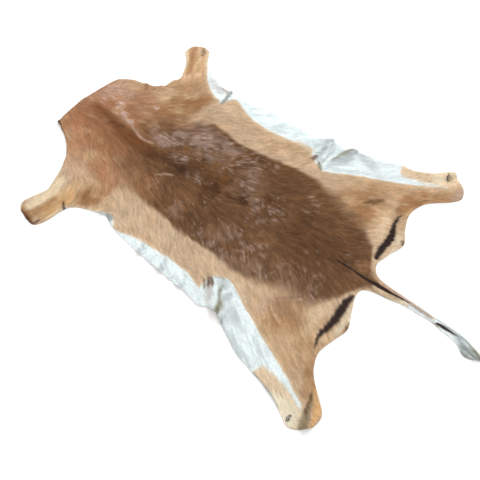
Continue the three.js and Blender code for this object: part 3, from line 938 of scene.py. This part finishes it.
def coat_colour(x, y, comb):
    """The colour of the hair at each place, red, green and blue from 0 to 1 as the eye reads them"""
    coat = np.tile(COLOURS["fawn"], (len(x), 1))
    coat = lay_ovals(coat, x, y, TINTS, wobble=26)
    for colour, size, seed in MOTTLES:
        mottle = ramp(along_hair(clouds, x, y, size, seed, stretch=1.6), 0.5, 0.75)
        coat = lay(coat, colour, MOTTLE_STRENGTH * mottle)
    coat, dark = saddle_and_sheen(coat, x, y, comb)
    coat = white_skin(coat, x, y)
    coat = tail_and_marks(coat, x, y, comb)
    pale = ramp(coat[:, 2], 0.5, 0.85)
    rough = HAIR_SHADE + DARK_HAIR_SHADE * dark - PALE_HAIR_SHADE * pale
    shade = 1 + rough * (comb["streaks"] + comb["grain"] - 1) + CLOUD_SHADE * (clouds(x, y, 60, 91) - 0.5)
    return np.clip(coat * shade[:, None], 0, 1)


# %% [markdown]
# ## From numbers to a leather object
#
# The net becomes a mesh with two finishes: the fur side, which the hair grows from, and the pale flesh
# side with the rim. The peg holes and knife slits in the leg ends go right through, so they are cut
# with a Boolean modifier: a hole in a mesh has clean walls, where a dark spot would only be paint.

# %% Colour values for the shader
GLOSS = 0.006         # the white light that the gloss of the hair adds
LIGHT_BACK = 0.87     # the share of the studio's light that brown hair sends back
GLOW = 0.15           # how much pale hairs light each other up
PIGMENT_RANGE = (0.002, 0.97)


def to_linear(colour):
    """Light values from colours as the eye reads them"""
    colour = np.asarray(colour, float)
    return np.where(colour <= 0.04045, colour / 12.92, ((colour + 0.055) / 1.055) ** 2.4)


def pigment(x, y, comb):
    """The hair's own light value at each place, so that it looks right in the studio"""
    wanted = np.maximum(to_linear(coat_colour(x, y, comb)) - GLOSS, 0)
    return np.clip(wanted / (LIGHT_BACK + GLOW * wanted), *PIGMENT_RANGE)


def linear_rgba(colour):
    """A light value with full opacity from red, green and blue between 0 and 1"""
    return (*to_linear(colour), 1.0)


# %% Finishes of the fur, the fur side and the flesh side
SUEDE = ((0.34, (0.72, 0.66, 0.56)), (0.66, (0.88, 0.84, 0.76)))      # places on a ramp and their colours


def add_node(tree, kind, inputs=(), **settings):
    """A node with its settings made and its inputs filled by values or by other sockets"""
    made = tree.nodes.new(kind)
    for name, value in settings.items():
        setattr(made, name, value)
    for socket, source in dict(inputs).items():
        if isinstance(source, bpy.types.NodeSocket):
            tree.links.new(source, made.inputs[socket])
        else:
            made.inputs[socket].default_value = source
    return made


def new_finish(name, roughness, specular):
    """A material, its node tree and its shader"""
    finish = bpy.data.materials.new(name)
    finish.use_nodes = True
    shader = finish.node_tree.nodes["Principled BSDF"]
    shader.inputs["Roughness"].default_value = roughness
    shader.inputs["Specular IOR Level"].default_value = specular
    return finish, finish.node_tree, shader


def stored(tree, name):
    """The node that reads a value of the mesh by its name"""
    return add_node(tree, "ShaderNodeAttribute", attribute_name=name)


def noise(tree, waves, detail=2.0):
    """Noise in the object's own space, at so many waves per metre"""
    here = add_node(tree, "ShaderNodeTexCoord").outputs["Object"]
    inputs = {"Vector": here, "Scale": waves, "Detail": detail}
    return add_node(tree, "ShaderNodeTexNoise", inputs).outputs[0]


def mapped(tree, value, low, high, seen=(0.0, 1.0)):
    """A value moved from the range in which it is seen to the range from low to high"""
    inputs = {0: value, 1: seen[0], 2: seen[1], 3: low, 4: high}
    return add_node(tree, "ShaderNodeMapRange", inputs).outputs[0]


def shaded(tree, shader, colour, value):
    """Gives the shader a colour made lighter or darker by a value"""
    made = add_node(tree, "ShaderNodeHueSaturation", {"Color": colour, "Value": value})
    tree.links.new(made.outputs["Color"], shader.inputs["Base Color"])


def bumped(tree, shader, height, strength, distance):
    """Gives the shader small bumps"""
    made = add_node(tree, "ShaderNodeBump", {"Height": height, "Strength": strength, "Distance": distance})
    tree.links.new(made.outputs[0], shader.inputs["Normal"])


def short_fur():
    """Hair that is darker at its root, with every strand a little lighter or darker than the next"""
    finish, tree, shader = new_finish("short_fur", roughness=0.5, specular=0.12)
    strand = mapped(tree, stored(tree, "strand").outputs["Fac"], 0.78, 1.22)
    tip = mapped(tree, stored(tree, "tip").outputs["Fac"], 0.9, 1.1)
    both = add_node(tree, "ShaderNodeMath", {0: strand, 1: tip}, operation="MULTIPLY")
    shaded(tree, shader, stored(tree, "coat").outputs["Color"], both.outputs[0])
    return finish


def fur_side():
    """The skin under the hair: the coat's colour, darker, with the dots of the pores"""
    finish, tree, shader = new_finish("fur_side", roughness=0.7, specular=0.25)
    pores = noise(tree, 700.0)
    shade = mapped(tree, pores, 0.62, 0.9, seen=(0.3, 0.7))
    shaded(tree, shader, stored(tree, "coat").outputs["Color"], shade)
    bumped(tree, shader, pores, strength=0.4, distance=0.0006)
    return finish


def flesh_side():
    """Tanned leather from behind: pale, cloudy, and napped like suede"""
    finish, tree, shader = new_finish("flesh_side", roughness=0.85, specular=0.2)
    nap = noise(tree, 900.0)
    tints = add_node(tree, "ShaderNodeValToRGB", {0: noise(tree, 9.0, detail=6.0)})
    for element, (place, colour) in zip(tints.color_ramp.elements, SUEDE):
        element.position = place
        element.color = linear_rgba(colour)
    shade = mapped(tree, nap, 0.88, 1.08, seen=(0.3, 0.7))
    shaded(tree, shader, tints.outputs["Color"], shade)
    bumped(tree, shader, nap, strength=0.5, distance=0.0005)
    return finish


fur_finish = short_fur()
fur_side_finish = fur_side()
flesh_side_finish = flesh_side()

# %% The leather as a mesh
def put_values(mesh, name, kind, values):
    """A named value for every point of a mesh"""
    attribute = mesh.attributes.new(name, kind, "POINT")
    field = {"FLOAT": "value", "FLOAT_VECTOR": "vector", "FLOAT_COLOR": "color"}[kind]
    attribute.data.foreach_set(field, np.ascontiguousarray(values, dtype=np.float32).ravel())


def read_points(mesh):
    """The points of a mesh as rows of x, y and z"""
    points = np.empty(len(mesh.vertices) * 3, np.float32)
    mesh.vertices.foreach_get("co", points)
    return points.reshape(-1, 3).astype(float)


def new_object(name, mesh):
    """An object at the origin that holds a mesh"""
    made = bpy.data.objects.new(name, mesh)
    bpy.context.scene.collection.objects.link(made)
    return made


def make_leather():
    """The closed sheet, with the fur side in slot 0 and the flesh side and rim in slot 1"""
    x, y = net_x.ravel(), net_y.ravel()
    points = np.vstack([to_frame(x, y, net_top.ravel()), to_frame(x, y, net_under.ravel())])
    faces = np.vstack([top_faces, under_faces, rim_faces])
    mesh = bpy.data.meshes.new("hide_skin")
    mesh.from_pydata(points.tolist(), [], faces.tolist())
    mesh.materials.append(fur_side_finish)
    mesh.materials.append(flesh_side_finish)
    slots = np.ones(len(faces), np.int32)
    slots[:len(top_faces)] = 0
    mesh.polygons.foreach_set("material_index", slots)
    mesh.shade_smooth()
    put_values(mesh, "edge", "FLOAT", np.tile(net_edge.ravel(), 2))
    return new_object("hide_skin", mesh)


hide = make_leather()

# %% Peg holes and knife slits
# x, y, half width, half length, turn to the left in degrees
HOLES = (
    (-424, -29, 5.5, 1.0, 0),       # peg hole of the left hind leg
    (-437, -47, 0.8, 4.0, -30),
    (421, -32, 5.5, 1.2, 20),       # peg hole of the right hind leg
    (-403, 843, 8.0, 0.8, -8),      # slit of the left front leg end
    (-317, 817, 0.9, 9.0, -33),     # tear behind the left front leg
    (393, 861, 9.0, 0.8, 22),       # slit of the right front leg end
)
HOLE_SIDES = 14
CUTTER_REACH = (-6, 34)


def make_cutter():
    """One upright prism for each hole"""
    shape = bmesh.new()
    for x, y, half_width, half_length, turn in HOLES:
        rings = []
        for z in CUTTER_REACH:
            angles = np.arange(HOLE_SIDES) * 2 * np.pi / HOLE_SIDES
            u, v = turned(half_width * np.cos(angles), half_length * np.sin(angles), -turn)
            rings.append([shape.verts.new(p) for p in to_frame(x + u, y + v, np.full(HOLE_SIDES, z))])
        shape.faces.new(rings[0][::-1])
        shape.faces.new(rings[1])
        for k in range(HOLE_SIDES):
            after = (k + 1) % HOLE_SIDES
            shape.faces.new((rings[0][k], rings[0][after], rings[1][after], rings[1][k]))
    mesh = bpy.data.meshes.new("hole_cutter")
    shape.to_mesh(mesh)
    shape.free()
    mesh.materials.append(flesh_side_finish)
    return new_object("hole_cutter", mesh)


def freeze(piece):
    """The piece as its modifiers show it, as a plain mesh"""
    depsgraph = bpy.context.evaluated_depsgraph_get()
    shown = piece.evaluated_get(depsgraph)
    return bpy.data.meshes.new_from_object(shown, preserve_all_data_layers=True, depsgraph=depsgraph)


cutter = make_cutter()
cut = hide.modifiers.new("Holes", "BOOLEAN")
cut.operation = "DIFFERENCE"
cut.solver = "EXACT"
cut.object = cutter
cut.material_mode = "TRANSFER"
with_holes = freeze(hide)
hide.modifiers.clear()
hide.data = with_holes
bpy.data.objects.remove(cutter)
print("Leather:", len(hide.data.polygons), "faces, finishes", [m.name for m in hide.data.materials])

# %% [markdown]
# ## What the hair needs to know about its place
#
# Geometry Nodes will plant the hair, but where it grows long or short, and which way it lies, belongs
# to this hide. So the leather carries two named values that the nodes read: growth, a share of the
# full hair length, and lie, the direction in which the hair points.

# %% Growth and lie on the leather
# Bare or short places: x, y, half width, half length, turn, how much shorter the hair is
SHORT_PLACES = (
    (-252, 330, 30, 26, 20, 0.65), (-256, 284, 22, 30, 20, 0.55), (250, 318, 26, 34, 0, 0.6),
    (-276, 692, 20, 30, 10, 0.7), (300, 684, 16, 24, 0, 0.5), (-425, -28, 22, 26, 0, 0.7),
    (427, -31, 18, 20, 0, 0.7), (-400, 850, 20, 24, 0, 0.5), (-88, 686, 8, 8, 0, 0.7),
    (330, 862, 120, 90, 0, 0.35), (-330, 870, 120, 90, 0, 0.35), (400, -60, 90, 70, 0, 0.35),
    (-390, -60, 90, 70, 0, 0.35),
)
EDGE_SHARE = 0.12             # the hair's length at the cut edge, as a share
EDGE_FUR = 14                 # how far from the edge it has its full length
USUAL_GROWTH = 0.9
BELLY_GROWTH = 0.3            # what the longer hair of the belly adds
BELLY_FROM_SPINE = (240, 280)
BELLY_REAR = (-40, 60)
BELLY_FRONT = (640, 720)


def dress(mesh):
    """Writes the coat's colour, the growth and the lie on a mesh of leather"""
    x, y = to_skin(read_points(mesh))
    edge = np.empty(len(x), np.float32)
    mesh.attributes["edge"].data.foreach_get("value", edge)
    belly = ramp(abs(x), *BELLY_FROM_SPINE) * ramp(y, *BELLY_REAR) * (1 - ramp(y, *BELLY_FRONT))
    growth = (1 - amount_of(x, y, SHORT_PLACES)) * (USUAL_GROWTH + BELLY_GROWTH * belly)
    growth = growth * (EDGE_SHARE + (1 - EDGE_SHARE) * ramp(edge, 0, EDGE_FUR))
    angle = np.radians(lie_angle(x, y))
    lie = np.stack([np.sin(angle), -np.cos(angle), np.zeros(len(x))], axis=1)
    put_values(mesh, "growth", "FLOAT", growth)
    put_values(mesh, "lie", "FLOAT_VECTOR", lie)
    coat = np.ones((len(x), 4))
    coat[:, :3] = pigment(x, y, combings(x, y))
    put_values(mesh, "coat", "FLOAT_COLOR", coat)


dress(hide.data)

# %% [markdown]
# ## Planting the hair with Geometry Nodes
#
# Hundreds of thousands of short hairs all follow one rule, which is what Geometry Nodes are for. The
# tree scatters points on the fur side, stands a blade on each, tips it over in the direction of the
# lie, and makes the result real. A blade is one slim triangle, wide at the root and pointed at the
# tip, because at this length nothing finer would show. A particle system could grow the same coat,
# but its hairs would not stay in the exported mesh.

# %% The hair planter
# name, kind of socket, value where a piece gives none
PLANTER_INPUTS = (
    ("Hairs per square metre", "NodeSocketFloat", None),
    ("Hair length", "NodeSocketFloat", None),
    ("Hair width", "NodeSocketFloat", None),
    ("Shortest share", "NodeSocketFloat", 0.7),
    ("Least lift", "NodeSocketFloat", 0.08),
    ("Most lift", "NodeSocketFloat", 0.24),
    ("Splay", "NodeSocketFloat", 0.1),
    ("Roll", "NodeSocketFloat", 0.35),
    ("Tufts per metre", "NodeSocketFloat", 110.0),
    ("Tuft lean", "NodeSocketFloat", 0.1),
    ("Tuft rise", "NodeSocketFloat", 0.05),
    ("Seed", "NodeSocketInt", None),
    ("Fur", "NodeSocketMaterial", None),
)
NOISE_SEEN = (0.3, 0.7)
NEXT_SEED = {"splay": 1.0, "lift": 2.0, "roll": 3.0, "size": 4.0, "strand": 5.0}


def build_planter():
    """The node tree, and the identifier of each named input"""
    tree = bpy.data.node_groups.new("hair_planter", "GeometryNodeTree")
    tree.interface.new_socket("Geometry", in_out="INPUT", socket_type="NodeSocketGeometry")
    tree.interface.new_socket("Geometry", in_out="OUTPUT", socket_type="NodeSocketGeometry")
    identifiers = {}
    for label, kind, value in PLANTER_INPUTS:
        socket = tree.interface.new_socket(label, in_out="INPUT", socket_type=kind)
        if value is not None:
            socket.default_value = value
        identifiers[label] = socket.identifier
    given = add_node(tree, "NodeGroupInput").outputs

    def maths(operation, first, second):
        """The result of an operation on two numbers"""
        return add_node(tree, "ShaderNodeMath", {0: first, 1: second}, operation=operation).outputs[0]

    def vectors(operation, first, second):
        """The result of an operation on two vectors"""
        inputs = {0: first, 1: second}
        return add_node(tree, "ShaderNodeVectorMath", inputs, operation=operation).outputs["Vector"]

    def pushed(vector, direction, amount):
        """A vector with so much of a direction added"""
        inputs = {0: direction, "Scale": amount}
        push = add_node(tree, "ShaderNodeVectorMath", inputs, operation="SCALE").outputs["Vector"]
        return vectors("ADD", vector, push)

    def chance(low, high, use):
        """A random value for each hair, from a seed of its own for each use"""
        seed = maths("ADD", given["Seed"], NEXT_SEED[use])
        return add_node(tree, "FunctionNodeRandomValue", {2: low, 3: high, "Seed": seed}).outputs[1]

    def either_way(label, use):
        """A random value from minus a named input to the input itself"""
        return chance(maths("MULTIPLY", given[label], -1.0), given[label], use)

    scatter = add_node(tree, "GeometryNodeDistributePointsOnFaces", {
        "Mesh": given["Geometry"],
        "Density": given["Hairs per square metre"],
        "Seed": given["Seed"],
    })
    normal = scatter.outputs["Normal"]
    lie = add_node(tree, "GeometryNodeInputNamedAttribute", {"Name": "lie"}, data_type="FLOAT_VECTOR")
    along_skin = vectors("SUBTRACT", lie.outputs[0], vectors("PROJECT", lie.outputs[0], normal))
    forward = add_node(tree, "ShaderNodeVectorMath", {0: along_skin}, operation="NORMALIZE").outputs[0]
    side = vectors("CROSS_PRODUCT", normal, forward)
    here = add_node(tree, "GeometryNodeInputPosition").outputs[0]
    tufts = add_node(tree, "ShaderNodeTexNoise", {"Vector": here, "Scale": given["Tufts per metre"]})
    wander = add_node(tree, "ShaderNodeSeparateXYZ", {0: tufts.outputs["Color"]}).outputs
    least_lean = maths("MULTIPLY", given["Tuft lean"], -1.0)
    lean = mapped(tree, wander[0], least_lean, given["Tuft lean"], seen=NOISE_SEEN)
    rise = mapped(tree, wander[1], 0.0, given["Tuft rise"], seen=NOISE_SEEN)
    pointing = pushed(forward, side, either_way("Splay", "splay"))
    pointing = pushed(pointing, side, lean)
    pointing = pushed(pointing, normal, chance(given["Least lift"], given["Most lift"], "lift"))
    pointing = pushed(pointing, normal, rise)
    rolled = pushed(normal, side, either_way("Roll", "roll"))
    axes = {"primary_axis": "X", "secondary_axis": "Z"}
    pose = add_node(tree, "FunctionNodeAxesToRotation", {0: pointing, 1: rolled}, **axes)
    growth = add_node(tree, "GeometryNodeInputNamedAttribute", {"Name": "growth"}).outputs[0]
    size = maths("MULTIPLY", growth, chance(given["Shortest share"], 1.0, "size"))
    reach = add_node(tree, "ShaderNodeCombineXYZ", {0: size, 1: 1.0, 2: 1.0})

    # A circle with three points is 1.5 long and the square root of 3 wide. It becomes the blade when
    # it is scaled to the hair's size, and moved by a third of its length so that it starts at 0.
    circle = add_node(tree, "GeometryNodeMeshCircle", {"Vertices": 3, "Radius": 1.0}, fill_type="NGON")
    place = add_node(tree, "GeometryNodeInputPosition").outputs[0]
    place_x = add_node(tree, "ShaderNodeSeparateXYZ", {0: place}).outputs["X"]
    marked = add_node(tree, "GeometryNodeStoreNamedAttribute", {
        "Geometry": circle.outputs[0], "Name": "tip", "Value": maths("GREATER_THAN", place_x, 0.5),
    })
    length, width = given["Hair length"], given["Hair width"]
    offset = add_node(tree, "ShaderNodeCombineXYZ", {0: maths("DIVIDE", length, 3.0)})
    scale = add_node(tree, "ShaderNodeCombineXYZ", {
        0: maths("DIVIDE", length, 1.5), 1: maths("DIVIDE", width, math.sqrt(3)), 2: 1.0,
    })
    blade = add_node(tree, "GeometryNodeTransform", {
        "Geometry": marked.outputs[0], "Translation": offset.outputs[0], "Scale": scale.outputs[0],
    })
    stranded = add_node(tree, "GeometryNodeStoreNamedAttribute", {
        "Geometry": scatter.outputs["Points"], "Name": "strand", "Value": chance(0.0, 1.0, "strand"),
    })
    planted = add_node(tree, "GeometryNodeInstanceOnPoints", {
        "Points": stranded.outputs[0],
        "Instance": blade.outputs[0],
        "Rotation": pose.outputs[0],
        "Scale": reach.outputs[0],
    })
    real = add_node(tree, "GeometryNodeRealizeInstances", {0: planted.outputs[0]})
    dressed = add_node(tree, "GeometryNodeSetMaterial", {0: real.outputs[0], "Material": given["Fur"]})
    add_node(tree, "NodeGroupOutput", {0: dressed.outputs[0]})
    return tree, identifiers


planter, planter_sockets = build_planter()
print("Hair planter:", len(planter.nodes), "nodes")

# %% [markdown]
# ## Beds of fur
#
# One mesh with all the hair would be too heavy to edit or to save, so the fur is planted in beds that
# follow each other from neck to tail. After planting, each hair is given a colour for its root and one
# for its tip, and its own small cell on a square map, with neighbours on the hide near each other, so
# that a baked picture of the piece keeps the markings.

# %% Plant, colour and map one bed
# Where a hair reads its colours, as shares of its length: the combed patterns, the tip and the root
OWN_PLACE = 0.45
TIP_PLACE = 0.75
ROOT_PLACE = 0.15
CELL = np.array(((0.5, 0.92), (0.08, 0.08), (0.92, 0.08)))     # tip and both root corners in a cell
SPARE_VALUES = ("coat", "growth", "lie", "edge", "id")         # the leather's own, of no use here


def make_bed(name, rear, front):
    """A copy of the fur side between two places along the spine"""
    shape = bmesh.new()
    shape.from_mesh(hide.data)
    unwanted = []
    for face in shape.faces:
        along = face.calc_center_median().y / MM - ZERO_Y
        if face.material_index != 0 or not rear <= along < front:
            unwanted.append(face)
    bmesh.ops.delete(shape, geom=unwanted, context="FACES")
    mesh = bpy.data.meshes.new(name)
    shape.to_mesh(mesh)
    shape.free()
    return new_object(name + "_bed", mesh)


def cell_map(places):
    """The column and row of each hair's cell on a square map, and the number of cells a side"""
    side = math.ceil(math.sqrt(len(places)))
    by_row = np.argsort(places[:, 1], kind="stable")
    row = np.empty(len(places), int)
    row[by_row] = np.arange(len(places)) // side
    in_order = np.lexsort((places[:, 0], row))
    column = np.empty(len(places), int)
    column[in_order] = np.arange(len(places)) % side
    return column, row, side


def tint_and_map(mesh):
    """Gives every hair of a planted mesh its colour and its cell"""
    corners = read_points(mesh).reshape(-1, 3, 3)
    roots = corners[:, 1:].mean(axis=1)
    run = corners[:, 0] - roots
    comb = combings(*to_skin(roots + run * OWN_PLACE))
    coat = np.ones((len(roots), 3, 4))
    coat[:, 0, :3] = pigment(*to_skin(roots + run * TIP_PLACE), comb)
    coat[:, 1:, :3] = pigment(*to_skin(roots + run * ROOT_PLACE), comb)[:, None]
    put_values(mesh, "coat", "FLOAT_COLOR", coat)
    column, row, side = cell_map(roots + run / 2)
    cells = np.stack([column, row], axis=1)[:, None] + CELL
    for layer in list(mesh.uv_layers):
        mesh.uv_layers.remove(layer)
    flat = mesh.uv_layers.new(name="OFBake")
    by_point = (cells / side).reshape(-1, 2)
    corner_points = np.empty(len(mesh.loops), np.int32)
    mesh.loops.foreach_get("vertex_index", corner_points)
    flat.uv.foreach_set("vector", by_point[corner_points].astype(np.float32).ravel())


def plant(name, rear, front, sizes):
    """One piece of fur on the leather between two places along the spine"""
    bed = make_bed(name, rear, front)
    grow = bed.modifiers.new("Plant hair", "NODES")
    grow.node_group = planter
    for label, value in sizes.items():
        grow[planter_sockets[label]] = value
    mesh = freeze(bed)
    bpy.data.objects.remove(bed)
    for spare in SPARE_VALUES:
        if spare in mesh.attributes:
            mesh.attributes.remove(mesh.attributes[spare])
    tint_and_map(mesh)
    mesh.name = name
    piece = new_object(name, mesh)
    print(name, "has", len(mesh.polygons), "hairs")
    return piece


# %% Plant the whole coat
# name, rear end and front end along the spine, hairs per square metre, length, width, seed
FUR_BEDS = (
    ("fur_neck", 800, 1200, 0.93e6, 9, 1.4, 11),
    ("fur_shoulders", 560, 800, 0.93e6, 9, 1.4, 12),
    ("fur_back", 325, 560, 0.93e6, 9, 1.4, 13),
    ("fur_loins", 90, 325, 0.93e6, 9, 1.4, 14),
    ("fur_rump", -30, 90, 0.96e6, 9, 1.4, 15),
    ("fur_hind_legs_and_tail", -400, -30, 1.1e6, 8.5, 1.2, 16),
)
fur = []
for name, rear, front, density, length, width, seed in FUR_BEDS:
    fur.append(plant(name, rear, front, {
        "Hairs per square metre": density,
        "Hair length": length * MM,
        "Hair width": width * MM,
        "Seed": seed,
        "Fur": fur_finish,
    }))
print("Triangles of fur:", sum(len(piece.data.polygons) for piece in fur))

# %% The tail's tuft
tuft = plant("tail_tuft", -345, -205, {
    "Hairs per square metre": 1.2e6,
    "Hair length": 34 * MM,
    "Hair width": 0.9 * MM,
    "Shortest share": 0.4,
    "Least lift": 0.02,
    "Most lift": 0.14,
    "Splay": 0.3,
    "Roll": 0.6,
    "Seed": 31,
    "Fur": fur_finish,
})

# %% [markdown]
# ## Studio
#
# The hide lies on a plain pale floor under soft light from a white surround, with one large lamp above
# its right flank, which gives part of the shade left of the mane ridge; the rest of it is painted. The
# camera stands where a person with a telephone would, 1.34 m above the floor, and looks down at 63
# degrees.

# %% Floor and light
FLOOR_SIZE = 14.0
FLOOR_DROP = 0.0004
FLOOR_GREY = (0.93, 0.93, 0.93, 1.0)
WHITE = (1.0, 1.0, 1.0, 1.0)
LAMP_PLACE = (1.9, 0.5, 1.7)
LAMP_TARGET = (0, 0.1, 0)
LAMP_SIZE = 1.6
LAMP_POWER = 36


def make_floor():
    """A plain pale floor just under the hide"""
    shape = bmesh.new()
    bmesh.ops.create_grid(shape, x_segments=1, y_segments=1, size=FLOOR_SIZE / 2)
    bmesh.ops.translate(shape, vec=(0, 0, -FLOOR_DROP), verts=shape.verts)
    mesh = bpy.data.meshes.new("floor")
    shape.to_mesh(mesh)
    shape.free()
    finish, _, shader = new_finish("pale_floor", roughness=0.9, specular=0.1)
    shader.inputs["Base Color"].default_value = FLOOR_GREY
    mesh.materials.append(finish)
    return new_object("floor", mesh)


floor = make_floor()

surround = bpy.data.worlds.new("surround")
surround.use_nodes = True
background = surround.node_tree.nodes["Background"]
background.inputs["Color"].default_value = WHITE
background.inputs["Strength"].default_value = 1.0
bpy.context.scene.world = surround
bpy.context.scene.view_settings.view_transform = "Standard"


def add_lamp(name, place, target, size, power):
    """A square soft lamp that faces a target"""
    lamp = bpy.data.lights.new(name, "AREA")
    lamp.shape = "SQUARE"
    lamp.size = size
    lamp.energy = power
    holder = bpy.data.objects.new(name, lamp)
    holder.location = place
    holder.rotation_euler = (Vector(target) - Vector(place)).to_track_quat("-Z", "Y").to_euler()
    bpy.context.scene.collection.objects.link(holder)


add_lamp("window_lamp", LAMP_PLACE, LAMP_TARGET, LAMP_SIZE, LAMP_POWER)

# %% Camera
CAMERA_PLACE = (-657.1, -56.5, 1340.8)      # millimetres on the skin and above the floor
VIEW_ACROSS = (0.80858, 0.58839)            # the way the camera faces, seen from above
LOOK_DOWN = math.radians(63.086)
ROLL = math.radians(0.10)
LENS = 40.5
SENSOR = 36.0
NEAREST, FARTHEST = 0.05, 50                # metres that the camera sees between


def make_camera():
    """The camera at the photograph's place and angle"""
    data = bpy.data.cameras.new("camera")
    data.lens = LENS
    data.sensor_width = SENSOR
    data.clip_start = NEAREST
    data.clip_end = FARTHEST
    across_x, across_y = VIEW_ACROSS
    look = Vector((across_x * math.cos(LOOK_DOWN), across_y * math.cos(LOOK_DOWN), -math.sin(LOOK_DOWN)))
    level = Vector((across_y, -across_x, 0))
    rise = level.cross(look)
    right = level * math.cos(ROLL) + rise * math.sin(ROLL)
    up = rise * math.cos(ROLL) - level * math.sin(ROLL)
    x, y, z = CAMERA_PLACE
    place = Vector(to_frame(np.array(x), np.array(y), np.array(z)))
    axes = Matrix((right, up, -look)).transposed().to_4x4()
    camera = bpy.data.objects.new("camera", data)
    camera.matrix_world = Matrix.Translation(place) @ axes
    bpy.context.scene.collection.objects.link(camera)
    bpy.context.scene.camera = camera


make_camera()

# %% [markdown]
# ## The pieces on one body
#
# Every piece rides on the one body, and the leather stands for the CAD solid, which is hidden.


for piece in (hide, *fur, tuft):
    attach(piece, "root")
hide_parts("hide")
